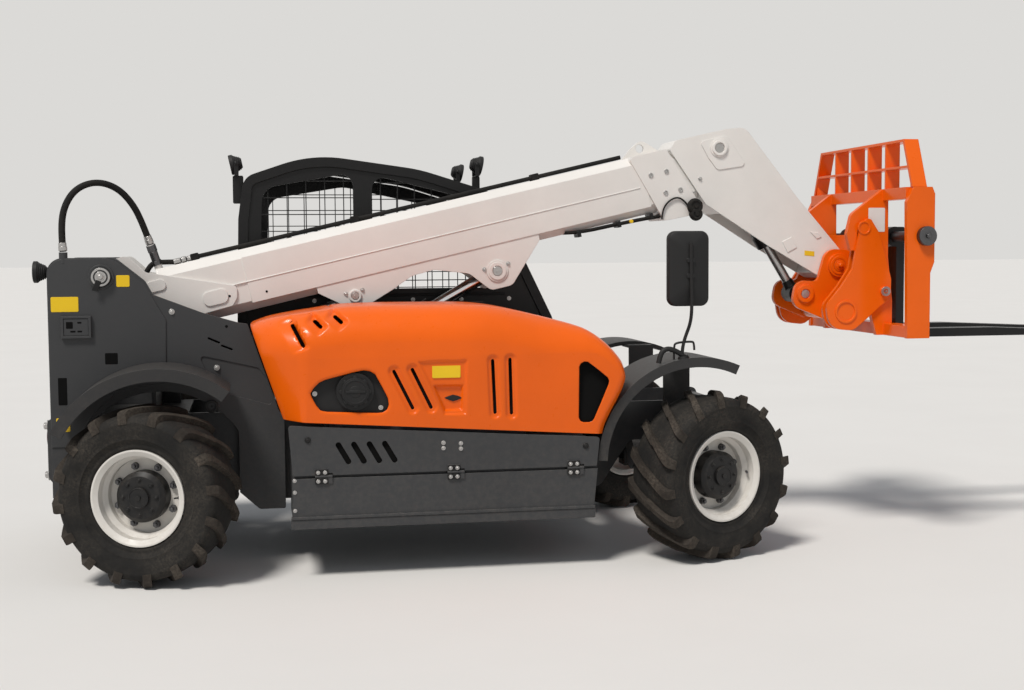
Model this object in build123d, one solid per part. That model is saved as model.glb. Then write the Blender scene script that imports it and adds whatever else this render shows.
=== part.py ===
from build123d import *
import os
from math import cos, pi, radians, sin, sqrt, tan

# Compact rough-terrain telescopic handler, in millimetres.
# X runs forward and Z up. The layout is set out from the middle of the wheelbase at ground level,
# and every piece is moved back by ORIGIN_X when it is written, so that the origin lies under the
# middle of the overall length.
ORIGIN_X = 925

# Running gear
WHEELBASE = 2620
TRACK = 1500
KINGPIN_INSET = 130
FRONT_HEADING = 22
REAR_HEADING = -19
TYRE_RADIUS = 415.5
TYRE_WIDTH = 310
TYRE_FACETS = 22
LUG_HEIGHT = 28
LUG_THICKNESS = 36
LUG_LENGTH = 195
LUG_MIDDLE = 63
LUG_COUNT = 16
LUG_ANGLE = 38
RIM_RADIUS = 223.5
RIM_HALF_WIDTH = 122
RIM_WALL = 8
DISC_THICKNESS = 12
HUB_RADIUS = 118
HUB_REACH = 96
BEAM_RADIUS = 70
DIFF_RADIUS = 135
YOKE_HEIGHT = 290
YOKE_WIDTH = 110
YOKE_THICKNESS = 32
KNUCKLE_RADIUS = 68
SPINDLE_RADIUS = 58
KINGPIN_RADIUS = 24
FENDER_THICKNESS = 22
FENDER_WIDTH = 400
FENDER_INSET = 320
FENDER_CLEAR = 8
LIP_THICKNESS = 12

# Clearances: between pieces of one body, of two bodies, and round a pin
SEAT_GAP = 0.3
RUN_GAP = 0.3
PIN_GAP = 0.1
MOVE_GAP = 6

# Frame
RAIL_Y = 330
RAIL_THICKNESS = 20
RAIL_TOP = 740
FLOOR_Z = 300
FLOOR_THICKNESS = 14
COUNTERWEIGHT_LENGTH = 170

# Tower and boom
PIVOT_X = -1570
PIVOT_Z = 1414
PIVOT_PIN_RADIUS = 32
PIVOT_BOSS_RADIUS = 62
PIVOT_CAP_RADIUS = 47
BOOM_Y = -105
TOWER_HALF_WIDTH = 295
TOWER_PLATE = 25
TOWER_PANEL = [(-1121, 1029, 14), (-838, 963, 14), (-803, 915, 14), (-771, 775, 14), (-1049, 855, 14)]
PANEL_DEPTH = 5
TOWER_SLOTS = [((-1073, 1111), (-1024, 1089)), ((-1010, 1074), (-964, 1055))]
TOWER_SLOT_WIDTH = 10
TOWER_PIN = (-1065, 779)
SOCKET_BOX = (-1759, -1620, 1123, 1230)
SOCKET_DEPTH = 24
BOOM_ANGLE = 13
BOOM_WIDTH = 270
BOOM_TOP = -23
BOOM_BOTTOM = -330
BOOM_WALL = 8
BOOM_BEVEL = 45
BOOM_START = 240
BOOM_END = 2850
INNER_GAP = 14
INNER_WALL = 7
EAR_THICKNESS = 16
GOOSENECK_WIDTH = 250
GOOSENECK_WALL = 12

# Pins of the linkages: along and square to the boom, from its pivot
LIFT_PIN = (1904, -431)
COMP_PIN = (1165, -383)
TILT_PIN = (3212, -79)
HEAD_PIN = (3717, -835)
HEAD_PIN_RADIUS = 32
NOSE_RADIUS = 74
LIFT_PIN_RADIUS = 24
COMP_PIN_RADIUS = 18
TILT_PIN_RADIUS = 22
PAD_START = 2640
PAD_LENGTH = 150
LIFTING_EYE = (2820, 13)
LIFTING_EYE_RADIUS = 22
LUG_PLATE = 24
LIFT_RING_RADIUS = 56
COMP_RING_RADIUS = 33
RING_RISE = 5
# Raised pads on the boom's rear: along, square, half length, half height
BOOM_PADS = [(492, -226, 62, 36), (227, -103, 47, 27)]
PAD_RISE = 6
# Feet of the two cylinders in the frame, and the tilt rod's pin on the coupler
LIFT_FOOT = (-1000, 600)
COMP_FOOT = (-1220, 930)
TILT_EYE = (2050, 1285)

# Coupler and carriage
COUPLER_HALF_WIDTH = 370
COUPLER_PLATE = 20
COUPLER_INNER = 55
CARRIAGE_HALF_WIDTH = 640
SIDE_PLATE = 30
SHAFT_X = 2495
SHAFT_Z = 1587
SHAFT_RADIUS = 27
FORK_SPREAD = 250
FORK_WIDTH = 100
FORK_THICKNESS = 45
FORK_LENGTH = 1200
FORK_UNDERSIDE = 1052
FORK_HEEL = 2503
BACKREST_DEPTH = (2425, 2503)
BACKREST_TOP = 2082
BACKREST_BARS = 4
BACKREST_SPREAD = 640

# Right side housings
HOOD_OUTER = -880
HOOD_INNER = -336
HOOD_SKIN = 12
HINGE_Z = 1245
HINGE_RADIUS = 11
HINGE_LEAF = 60
HINGE_KNUCKLE = 28
HINGE_PLACES = (-330, 230)
BOX_OUTER = -850
BOX_INNER = -RAIL_Y - SEAT_GAP
DOOR_THICKNESS = 15
DOOR_SEAM = 487
DOOR_KNUCKLE_RADIUS = 7
DOOR_KNUCKLE_OUT = 3
DOOR_KNUCKLE_LENGTH = 60
DOOR_KNUCKLE_MATE = 20
DOOR_KNUCKLES = (-590, 30, 610)
DOOR_SLOTS = 4
DOOR_SLOT_X = -486
DOOR_SLOT_PITCH = 72
CAP_TRAY_DEPTH = 40
CAP_TRAY_WALL = 12
CAP_CENTRE = (-400, 880)
CAP_RADIUS = 87
CAP_GRIP = 64
CAP_LOBES = 8
HOOD_FAR = 3000
HOOD_EDGE = 190
HOOD_REAR_CORNER = 200
HOOD_FRONT_CORNER = 40
HOOD_LEAN = 30
HOOD_LEAN_START = 235
HOOD_LEAN_END = 670
CHANNEL_WIDTH = 44
CHANNEL_DEPTH = 6
SLOT_WIDTH = 16
POCKET_DEPTH = 26
POCKET_FLOOR_DEPTH = 46

# Cab
CAB_RIGHT = 62
CAB_LEFT = 880
CAB_TUBE = 50
CAB_SHEET = 14
CAB_FLOOR = RAIL_TOP + SEAT_GAP


# Basic shapes
def outline(corners):
    """Closed outline in the XZ plane. Each corner is (x, z, rounding radius)."""
    points = [(x, z) for x, z, radius in corners]
    radii = [radius for x, z, radius in corners]
    return Plane.XZ * make_face(FilletPolyline(*points, radius=radii, close=True))


def side_plate(corners, y_low, y_high):
    """Plate parallel to the machine's side."""
    return extrude(Pos(0, y_low, 0) * outline(corners), amount=y_high - y_low, dir=(0, 1, 0))


def block(x_low, x_high, y_low, y_high, z_low, z_high):
    size = (x_high - x_low, y_high - y_low, z_high - z_low)
    return Pos(x_low, y_low, z_low) * Box(*size, align=(Align.MIN, Align.MIN, Align.MIN))


def bar_y(x, z, radius, y_low, y_high):
    return Pos(x, (y_low + y_high) / 2, z) * Rot(90, 0, 0) * Cylinder(radius, y_high - y_low)


def bar_x(y, z, radius, x_low, x_high):
    return Pos((x_low + x_high) / 2, y, z) * Rot(0, 90, 0) * Cylinder(radius, x_high - x_low)


def bar_z(x, y, radius, z_low, z_high):
    return Pos(x, y, (z_low + z_high) / 2) * Cylinder(radius, z_high - z_low)


def rod(start, end, radius):
    along = Vector(*end) - Vector(*start)
    plane = Plane(origin=start, z_dir=along)
    return plane * Cylinder(radius, along.length, align=(Align.CENTER, Align.CENTER, Align.MIN))


def pipe(points, radius, bends):
    path = FilletPolyline(*points, radius=bends)
    return sweep(Plane(origin=path @ 0, z_dir=path % 0) * Circle(radius), path=path)


def save(name, shape):
    moved = [Pos(-ORIGIN_X, 0, 0) * solid for solid in shape.solids()]
    export_step(moved[0] if len(moved) == 1 else Compound(moved), f"parts/{name}.step")


def boom_point(along, square):
    """Point of the XZ plane from its distances along and square to the boom, from the pivot."""
    turn = radians(BOOM_ANGLE)
    x = PIVOT_X + along * cos(turn) - square * sin(turn)
    z = PIVOT_Z + along * sin(turn) + square * cos(turn)
    return x, z


def boom_plate(corners, y_low, y_high):
    """Plate parallel to the boom's side. Each corner is (along, square, rounding radius)."""
    placed = [(*boom_point(along, square), radius) for along, square, radius in corners]
    return side_plate(placed, y_low, y_high)


def boom_section(width, low, high, bevel):
    half = width / 2
    points = [
        (BOOM_Y - half, low + bevel),
        (BOOM_Y - half + bevel, low),
        (BOOM_Y + half - bevel, low),
        (BOOM_Y + half, low + bevel),
        (BOOM_Y + half, high - bevel),
        (BOOM_Y + half - bevel, high),
        (BOOM_Y - half + bevel, high),
        (BOOM_Y - half, high - bevel),
    ]
    turn = radians(BOOM_ANGLE)
    plane = Plane(origin=(PIVOT_X, 0, PIVOT_Z), x_dir=(0, 1, 0), z_dir=(cos(turn), 0, sin(turn)))
    return plane * make_face(Polyline(*points, close=True)), plane.z_dir


def boom_tube(width, low, high, bevel, start, end):
    section, along = boom_section(width, low, high, bevel)
    return extrude(section.moved(Location(along * start)), amount=end - start, dir=along)


# Wheels, drawn round the Y axis at the origin with the outer side towards -Y
def wheel_profile(points):
    face = Plane.XY * make_face(Polyline(*points, close=True))
    return revolve(face, axis=Axis.Y, revolution_arc=360)


def faceted_ring(section):
    """Ring of flat facets round the Y axis. The section is closed, in (radius, distance along Y)."""
    turns = [2 * pi * k / TYRE_FACETS for k in range(TYRE_FACETS + 1)]
    faces = []
    for start, end in zip(turns, turns[1:]):
        for (r1, y1), (r2, y2) in zip(section, section[1:] + section[:1]):
            corners = [(r1 * cos(start), y1, r1 * sin(start)), (r2 * cos(start), y2, r2 * sin(start)),
                       (r2 * cos(end), y2, r2 * sin(end)), (r1 * cos(end), y1, r1 * sin(end))]
            faces.append(make_face(Polyline(*corners, close=True)))
    return Solid(Shell(faces))


def tyre():
    """Carcass of flat facets with a bar lug across each half of the tread, slanted like a herringbone."""
    half = TYRE_WIDTH / 2
    tread = TYRE_RADIUS - LUG_HEIGHT
    bead = (RIM_RADIUS + SEAT_GAP) / cos(pi / TYRE_FACETS)
    # radius, distance from the middle plane
    section = [(bead, RIM_HALF_WIDTH - 14), (tread - 62, half - 8), (tread, half - 48)]
    carcass = faceted_ring(section + [(r, -y) for r, y in reversed(section)])
    # lug seen from its side: distance along it from its middle, height over the axle
    end = LUG_LENGTH / 2
    top = TYRE_RADIUS - 8
    side = [(-end, tread - 26), (-end, top), (end - 24, top), (end, top - 26), (end, tread - 74)]
    lug = extrude(Plane.YZ * make_face(Polyline(*side, close=True)), amount=LUG_THICKNESS / 2, both=True)
    lugs = []
    for k in range(LUG_COUNT):
        near = Pos(0, LUG_MIDDLE, 0) * Rot(0, 0, LUG_ANGLE) * lug
        far = Pos(0, -LUG_MIDDLE, 0) * Rot(0, 0, 180 - LUG_ANGLE) * lug
        lugs.append(Rot(0, 360 * k / LUG_COUNT, 0) * near)
        lugs.append(Rot(0, 360 * (k + 0.5) / LUG_COUNT, 0) * far)
    return carcass + lugs


def rim():
    """Outer flange, bead seat, dish, well and disc; the outer side lies towards -Y."""
    outer = RIM_RADIUS
    side = RIM_HALF_WIDTH
    seat = outer - 22
    inside = seat - RIM_WALL
    well = outer - 42 - RIM_WALL
    disc_in = HUB_RADIUS - 30
    # radius, distance from the middle plane
    points = [
        (outer, side), (outer, side - 14), (seat, side - 18), (seat, -side + 18), (outer, -side + 14),
        (outer, -side), (outer - RIM_WALL, -side), (inside, -side + 14), (inside, -64), (well, -44),
        (well, -DISC_THICKNESS), (disc_in, -DISC_THICKNESS), (disc_in, 0), (well, 0), (inside, 24),
        (inside, side - 14), (outer - RIM_WALL, side),
    ]
    return wheel_profile(points)


def hub():
    inner = HUB_RADIUS - 30 - SEAT_GAP
    back = -DISC_THICKNESS - SEAT_GAP
    # radius, distance from the middle plane
    points = [
        (0, 34), (inner + 14, 34), (inner + 14, SEAT_GAP), (inner, SEAT_GAP), (inner, back), (HUB_RADIUS, back),
        (HUB_RADIUS, -HUB_REACH + 22), (HUB_RADIUS - 20, -HUB_REACH + 4), (HUB_RADIUS - 56, -HUB_REACH),
        (44, -HUB_REACH), (44, -HUB_REACH - 12), (0, -HUB_REACH - 12),
    ]
    return wheel_profile(points)


def corner_frames():
    """One row per wheel: name, axle x, side (-1 right, +1 left), heading."""
    half = WHEELBASE / 2
    return [
        ("front_right", half, -1, FRONT_HEADING),
        ("front_left", half, 1, FRONT_HEADING),
        ("rear_right", -half, -1, REAR_HEADING),
        ("rear_left", -half, 1, REAR_HEADING),
    ]


def at_kingpin(x, side, heading):
    """Frame at the kingpin whose -Y points out to the wheel."""
    turn = heading if side < 0 else heading + 180
    return Pos(x, side * (TRACK / 2 - KINGPIN_INSET), TYRE_RADIUS) * Rot(0, 0, turn)


def knuckle():
    gap = RUN_GAP
    height = YOKE_HEIGHT / 2 - YOKE_THICKNESS - gap
    solid = bar_z(0, 0, KNUCKLE_RADIUS, -height, height)
    solid += bar_y(0, 0, SPINDLE_RADIUS, -KINGPIN_INSET + 34 + gap, 0)
    solid += bar_y(0, 0, HUB_RADIUS - 24, -KINGPIN_INSET + 34 + gap, -KINGPIN_INSET + 34 + gap + 22)
    arm = side_plate([(0, -18, 0), (150, -18, 16), (150, 18, 16), (0, 18, 0)], 12, 40)
    solid += arm
    return solid


def axle(x):
    reach = TRACK / 2 - KINGPIN_INSET
    half = YOKE_HEIGHT / 2
    z = TYRE_RADIUS
    solid = bar_y(x, z, BEAM_RADIUS, -reach + 105, reach - 105)
    solid += Pos(x, 0, z) * Sphere(DIFF_RADIUS)
    solid += Pos(x, 0, z) * Rot(0, 90, 0) * Cylinder(DIFF_RADIUS * 0.62, 2 * DIFF_RADIUS + 40)
    for side in (-1, 1):
        pin_y = side * reach
        inner = pin_y - side * 120
        low, high = sorted((inner, inner + side * 24))
        solid += block(x - YOKE_WIDTH / 2, x + YOKE_WIDTH / 2, low, high, z - half, z + half)
        for z_low in (z - half, z + half - YOKE_THICKNESS):
            low, high = sorted((inner, pin_y))
            arm = block(x - YOKE_WIDTH / 2, x + YOKE_WIDTH / 2, low, high, z_low, z_low + YOKE_THICKNESS)
            solid += arm + bar_z(x, pin_y, YOKE_WIDTH / 2, z_low, z_low + YOKE_THICKNESS)
        solid += bar_z(x, pin_y, KINGPIN_RADIUS * 1.6, z + half, z + half + 10)
        solid += bar_z(x, pin_y, KINGPIN_RADIUS * 1.6, z - half - 10, z - half)
        low, high = sorted((side * 250, side * 330))
        solid += block(x - 60, x + 60, low, high, z, 540 - SEAT_GAP)
    return solid


# Fenders are arcs of sheet. Each row: centre x from the axle, centre z, outer radius,
# first and last angle from straight ahead, upwards, depth of the outer lip. The front ones come first.
FENDERS = [
    (-34, 493, 509, 66, 178, 48),
    (10, 470, 532, 52, 152, 58),
]


def fender(x, side, centre_x, centre_z, radius, first, last, lip):
    inner = TRACK / 2 - FENDER_INSET
    low, high = sorted((side * inner, side * (inner + FENDER_WIDTH)))
    centre = (x + centre_x, centre_z)
    ring = Pos(centre[0], low, centre[1]) * Rot(-90, 0, 0) * (
        Cylinder(radius, high - low, align=(Align.CENTER, Align.CENTER, Align.MIN))
        - Cylinder(radius - FENDER_THICKNESS, high - low, align=(Align.CENTER, Align.CENTER, Align.MIN))
    )
    reach = 2 * radius
    wedge = [
        (centre[0], centre[1], 0),
        (centre[0] + reach * cos(radians(first)), centre[1] + reach * sin(radians(first)), 0),
        (centre[0] + reach * cos(radians((first + last) / 2)) * 1.2,
         centre[1] + reach * sin(radians((first + last) / 2)) * 1.2, 0),
        (centre[0] + reach * cos(radians(last)), centre[1] + reach * sin(radians(last)), 0),
    ]
    rim_low, rim_high = sorted((side * (inner + FENDER_WIDTH - LIP_THICKNESS), side * (inner + FENDER_WIDTH)))
    ring += bar_y(*centre, radius, rim_low, rim_high) - bar_y(*centre, radius - lip, rim_low - 5, rim_high + 5)
    return ring & side_plate(wedge, low, high)


def fender_arm(x, side, top):
    """Bracket from the rail's outer face up to the fender's inner edge."""
    face = RAIL_Y + SEAT_GAP
    low, high = sorted((side * face, side * (face + 18)))
    solid = block(x - 70, x + 70, low, high, RAIL_TOP - 90, top)
    low, high = sorted((side * face, side * (TRACK / 2 - FENDER_INSET + 60)))
    solid += block(x - 70, x + 70, low, high, top - 16, top)
    return solid


def fenders():
    front = WHEELBASE / 2
    solids = []
    for side in (-1, 1):
        dx, cz, radius, *sector = FENDERS[0]
        solid = fender(front, side, dx, cz, radius, *sector)
        top = cz + sqrt((radius - FENDER_THICKNESS / 2) ** 2 - (dx - 10) ** 2)
        solid += fender_arm(front, side, top - 4)
        solids.append(solid)
        dx, cz, radius, *sector = FENDERS[1]
        solid = fender(-front, side, dx, cz, radius, *sector)
        top = cz + sqrt((radius - FENDER_THICKNESS / 2) ** 2 - (dx - 10) ** 2)
        if side > 0:
            solid += fender_arm(-front, side, top - 4)
        else:
            seat = -(BOOM_Y - TOWER_HALF_WIDTH) + SEAT_GAP
            solid += block(-front - 70, -front + 70, -(TRACK / 2 - FENDER_INSET + 60), -seat, top - 20, top - 4)
        solids.append(solid)
    return Compound(solids)


# Frame
def chassis_frame():
    rail = [
        (-1775, 560, 20), (-1600, 540, 0), (-1080, 540, 60), (-900, FLOOR_Z, 60), (900, FLOOR_Z, 60),
        (1060, 540, 60), (1600, 540, 40), (1660, 640, 30), (1620, RAIL_TOP, 30), (-1775, RAIL_TOP, 20),
    ]
    inner = RAIL_Y - RAIL_THICKNESS
    solid = side_plate(rail, -RAIL_Y, -inner) + side_plate(rail, inner, RAIL_Y)
    solid += block(-860, 860, -inner, inner, FLOOR_Z, FLOOR_Z + FLOOR_THICKNESS)
    solid += block(1560, 1600, -inner, inner, 560, RAIL_TOP - 20)
    solid += block(900, 930, -inner, inner, FLOOR_Z + 60, RAIL_TOP - 20)
    solid += block(-1560, -1530, -inner, inner, 560, RAIL_TOP - 20)
    solid += block(-1820, -1180, -inner, inner, RAIL_TOP - 15, RAIL_TOP)
    for x in (-900, 760):
        solid += block(x - 30, x + 30, 0, inner, RAIL_TOP - 50, RAIL_TOP)
    # posts with the outer knuckles of the hood's hinges
    for x in HINGE_PLACES:
        low = x + HINGE_LEAF + RUN_GAP
        high = low + HINGE_KNUCKLE
        solid += block(low, high, -RAIL_Y, -RAIL_Y + 12, RAIL_TOP - 20, HINGE_Z)
        solid += bar_x(HOOD_INNER, HINGE_Z, HINGE_RADIUS, low, high)
    foot_x, foot_z = LIFT_FOOT
    lug = [(foot_x - 140, 540, 0), (foot_x + 90, 440, 0), (foot_x + 60, foot_z + 55, 40),
           (foot_x - 60, foot_z + 55, 40)]
    for y_low, y_high in ((BOOM_Y - 90, BOOM_Y - 62), (BOOM_Y + 62, BOOM_Y + 90)):
        solid += side_plate(lug, y_low, y_high)
    solid += block(foot_x - 120, foot_x + 60, -inner, inner, 425, 440)
    for y_low, y_high in ((BOOM_Y - 90, BOOM_Y - 62), (BOOM_Y + 62, BOOM_Y + 90)):
        solid += block(foot_x - 120, foot_x + 40, y_low, y_high, 430, 560)
    return solid


def tower():
    outer = BOOM_Y - TOWER_HALF_WIDTH
    deck = RAIL_TOP + SEAT_GAP
    left = [
        (-1820, deck, 10), (-1820, 1506, 75), (-1504, 1506, 60), (-1367, 1393, 60), (-1290, 1300, 20),
        (-1240, 1180, 40), (-1240, deck, 0),
    ]
    inner_low = outer + TOWER_PLATE
    inner_high = BOOM_Y + TOWER_HALF_WIDTH - TOWER_PLATE
    plate = side_plate([(-1820, 350, 10), (-1820, 1506, 75), (-1504, 1506, 60), (-1367, 1393, 60),
                        (-1331, 1326, 20), (-1099, 1235, 30), (-927, 1184, 30), (-886, 1178, 6),
                        (-740, 744, 0), (-716, 722, 0), (-716, 263, 10), (-843, 263, 30), (-938, 350, 0)],
                       outer, inner_low)
    arch_x = -WHEELBASE / 2
    arch = bar_y(arch_x, TYRE_RADIUS, TYRE_RADIUS + 26, outer - 5, inner_low + 5)
    arch &= block(arch_x - 372, arch_x + 372, outer - 5, inner_low + 5, 0, 1200)
    under = block(arch_x - 372, arch_x + 372, outer - 5, inner_low + 5, 0, TYRE_RADIUS)
    plate -= arch
    plate -= under
    plate -= side_plate(TOWER_PANEL, outer - 5, outer + PANEL_DEPTH)
    for low, high in TOWER_SLOTS:
        plate -= slot_cut(low, high, TOWER_SLOT_WIDTH, outer - 5, inner_low + 5)
    plate += bar_y(TOWER_PIN[0], TOWER_PIN[1], 30, outer - 8, outer + 2)
    low_x, high_x, low_z, high_z = SOCKET_BOX
    plate += block(low_x, high_x, outer - SOCKET_DEPTH, outer + 2, low_z, high_z)
    plate -= block(low_x + 12, high_x - 12, outer - SOCKET_DEPTH - 5, outer - 8, low_z + 12, high_z - 12)
    solid = plate + side_plate(left, inner_high, inner_high + TOWER_PLATE)
    solid += block(-1800, -1775, inner_low, inner_high, 860, 1330)
    solid += block(-1350, -1330, inner_low, inner_high, deck, 1000)
    solid += bar_z(-1743, outer + TOWER_PLATE / 2, 20, 1480, HOSE_ROUTE[0][2] - 3)
    for y_low, y_high in ((inner_low, BOOM_Y - BOOM_WIDTH / 2 - 12), (BOOM_Y + BOOM_WIDTH / 2 + 12, inner_high)):
        solid += bar_y(PIVOT_X, PIVOT_Z, PIVOT_BOSS_RADIUS, y_low, y_high)
    solid += bar_y(PIVOT_X, PIVOT_Z, PIVOT_PIN_RADIUS, outer - 26, inner_high + TOWER_PLATE + 26)
    for y_low in (outer - 30, inner_high + TOWER_PLATE):
        solid += bar_y(PIVOT_X, PIVOT_Z, PIVOT_CAP_RADIUS, y_low, y_low + 30)
    foot_x, foot_z = COMP_FOOT
    lug = [(-1335, 860, 0), (foot_x, foot_z - 70, 0), (foot_x + 60, foot_z, 40), (foot_x, foot_z + 55, 40),
           (-1335, 985, 0)]
    for y_low, y_high in ((BOOM_Y - 75, BOOM_Y - 50), (BOOM_Y + 50, BOOM_Y + 75)):
        solid += side_plate(lug, y_low, y_high)
    return solid


def counterweight():
    half = RAIL_Y - RAIL_THICKNESS - SEAT_GAP
    top = RAIL_TOP - 15 - SEAT_GAP
    profile = [(-1850, 400, 60), (-1640, 400, 40), (-1600, 540, 0), (-1600, top, 0), (-1850, top, 20)]
    body = side_plate(profile, -half, half)
    return body


def engine_block():
    return block(-520, 420, -790, -RAIL_Y - SEAT_GAP, 600 + SEAT_GAP, 1080)


# Right side housings
HOOD_SIDE = [
    (-729, 747, 20), (792, 644, 20), (905, 925, 30), (900, 975, 30), (700, 1155, 70), (262, 1270, 250),
    (-465, 1273, 200), (-760, 1256, 80), (-886, 1214, 30),
]
# Lines of the hood's top that its rounded outer edge follows: start, end
HOOD_RIDGES = [((-465, 1273), (262, 1273)), ((262, 1270), (700, 1155)), ((700, 1155), (900, 975))]
HOOD_WINDOW = [
    (-606, 876, 25), (-565, 938, 40), (-360, 982, 50), (-305, 960, 30), (-246, 838, 25), (-248, 797, 14),
    (-286, 776, 14), (-560, 792, 40),
]
# Slots in the hood's side: lower end, upper end
HOOD_SLOTS = [((-132, 795), (-219, 970)), ((-45, 796), (-133, 977)), ((260, 763), (247, 1011)),
              ((339, 758), (330, 1015))]
# Scoops at its rear upper corner: lower end, upper end
HOOD_SCOOPS = [((-629, 1106), (-678, 1204)), ((-547, 1191), (-582, 1218)), ((-452, 1207), (-485, 1238))]
HOOD_VENT = [
    (668, 975, 0), (690, 998, 8), (709, 995, 8), (809, 917, 10), (811, 886, 10), (739, 716, 10),
    (722, 704, 8), (684, 705, 8), (664, 725, 10),
]
POCKET = [(-109, 758, 24), (143, 758, 24), (143, 1016, 24), (-109, 1016, 24)]
POCKET_FLOOR = [(-32, 758, 20), (142, 758, 20), (142, 900, 20), (-32, 900, 20)]
LATCH_HOLE = (60, 835)


def prism_along(profile, start, end):
    """Endless prism through two points of the XZ plane. Corners are (y, height over the line, radius)."""
    along = Vector(end[0] - start[0], 0, end[1] - start[1]).normalized()
    plane = Plane(origin=(start[0], 0, start[1]), x_dir=(0, 1, 0), z_dir=along)
    points = [(y, height) for y, height, radius in profile]
    radii = [radius for y, height, radius in profile]
    face = plane * make_face(FilletPolyline(*points, radius=radii, close=True))
    return extrude(face, amount=HOOD_FAR, both=True)


def plan_along(profile, start, end):
    """Endless prism whose level section, drawn at the start's height, slides along the line to the end."""
    along = Vector(end[0] - start[0], 0, end[1] - start[1]).normalized()
    points = [(x, y) for x, y, radius in profile]
    radii = [radius for x, y, radius in profile]
    face = Pos(0, 0, start[1]) * make_face(FilletPolyline(*points, radius=radii, close=True))
    return extrude(face, amount=HOOD_FAR, dir=along) + extrude(face, amount=HOOD_FAR, dir=-along)


def hood_form(inset):
    """Crossing of the side profile, the rounded ridges and the two upright corners, each moved in."""
    side = offset(outline(HOOD_SIDE), amount=-inset) if inset else outline(HOOD_SIDE)
    form = extrude(Pos(0, HOOD_OUTER - 50, 0) * side, amount=HOOD_INNER - HOOD_OUTER + 50, dir=(0, 1, 0))
    outer = HOOD_OUTER + inset
    for start, end in HOOD_RIDGES:
        ridge = [(HOOD_INNER, -HOOD_FAR, 0), (HOOD_INNER, -inset, 0), (outer, -inset, HOOD_EDGE - inset),
                 (outer, -HOOD_LEAN_START, 60), (outer + HOOD_LEAN, -HOOD_LEAN_END, 0),
                 (outer + HOOD_LEAN, -HOOD_FAR, 0)]
        form &= prism_along(ridge, start, end)
    low, high = HOOD_SIDE[0][:2], HOOD_SIDE[-1][:2]
    rear = [(high[0] + inset, HOOD_INNER, 0), (high[0] + inset, outer, HOOD_REAR_CORNER - inset),
            (HOOD_FAR, outer, 0), (HOOD_FAR, HOOD_INNER, 0)]
    form &= plan_along(rear, high, low)
    low, high = HOOD_SIDE[1][:2], HOOD_SIDE[2][:2]
    front = [(-HOOD_FAR, HOOD_INNER, 0), (-HOOD_FAR, outer, 0), (high[0] - inset, outer, HOOD_FRONT_CORNER - inset),
             (high[0] - inset, HOOD_INNER, 0)]
    form &= plan_along(front, high, low)
    return form


def slot_cut(low, high, width, y_low, y_high):
    """Rounded slot through a side, between two points of the XZ plane."""
    along = Vector(high[0] - low[0], 0, high[1] - low[1])
    centre = ((low[0] + high[0]) / 2, y_low, (low[1] + high[1]) / 2)
    plane = Plane(origin=centre, x_dir=along, z_dir=(0, 1, 0))
    return extrude(plane * SlotOverall(along.length + width, width), amount=y_high - y_low, dir=(0, 1, 0))


def tray_wall(corners, depth):
    """Block behind the hood's skin that a recess is then cut into."""
    edge = offset(outline(corners), amount=HOOD_SKIN)
    return extrude(Pos(0, HOOD_OUTER, 0) * edge, amount=depth + HOOD_SKIN, dir=(0, 1, 0)) & hood_form(0)


def hood():
    solid = hood_form(0) - hood_form(HOOD_SKIN)
    mouth = [(-705, 700, 0), (750, 600, 0), (772, 660, 0), (-705, 765, 0)]
    solid -= side_plate(mouth, HOOD_OUTER + HOOD_SKIN + 8, HOOD_INNER + 5)
    for x in HINGE_PLACES:
        solid -= block(x + HINGE_LEAF - 6, x + HINGE_LEAF + HINGE_KNUCKLE + 6, HOOD_INNER - 20, HOOD_INNER + 5,
                       HINGE_Z - 40, HINGE_Z + 60)
        solid += bar_x(HOOD_INNER, HINGE_Z, HINGE_RADIUS, x, x + HINGE_LEAF)
        leaf = block(x, x + HINGE_LEAF, HOOD_INNER - 2 * HOOD_SKIN, HOOD_INNER, HINGE_Z, HINGE_Z + 40)
        solid += leaf & hood_form(0)
    outer = HOOD_OUTER
    solid += tray_wall(POCKET, POCKET_DEPTH)
    solid += tray_wall(POCKET_FLOOR, POCKET_FLOOR_DEPTH)
    solid -= side_plate(POCKET, outer - 20, outer + POCKET_DEPTH)
    solid -= side_plate(POCKET_FLOOR, outer - 20, outer + POCKET_FLOOR_DEPTH)
    x, z = LATCH_HOLE
    solid -= slot_cut((x - 26, z), (x + 26, z), 28, outer, outer + POCKET_FLOOR_DEPTH + 2 * HOOD_SKIN)
    for low, high in HOOD_SLOTS:
        solid -= slot_cut(low, high, CHANNEL_WIDTH, outer - 20, outer + CHANNEL_DEPTH)
        solid -= slot_cut(low, high, SLOT_WIDTH, outer - 20, outer + 60)
    for low, high in HOOD_SCOOPS:
        solid -= slot_cut(low, high, SLOT_WIDTH, outer - 20, outer + 260)
    solid -= side_plate(HOOD_WINDOW, outer - 20, outer + 60)
    solid -= side_plate(HOOD_VENT, outer - 20, outer + 60)
    # room for the front fender behind the outer skin
    arc_x, arc_z, arc_radius = FENDERS[0][:3]
    solid -= bar_y(WHEELBASE / 2 + arc_x, arc_z, arc_radius + FENDER_CLEAR,
                   -(TRACK / 2 - FENDER_INSET + FENDER_WIDTH) - FENDER_CLEAR, HOOD_INNER + 5)
    return solid


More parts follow.
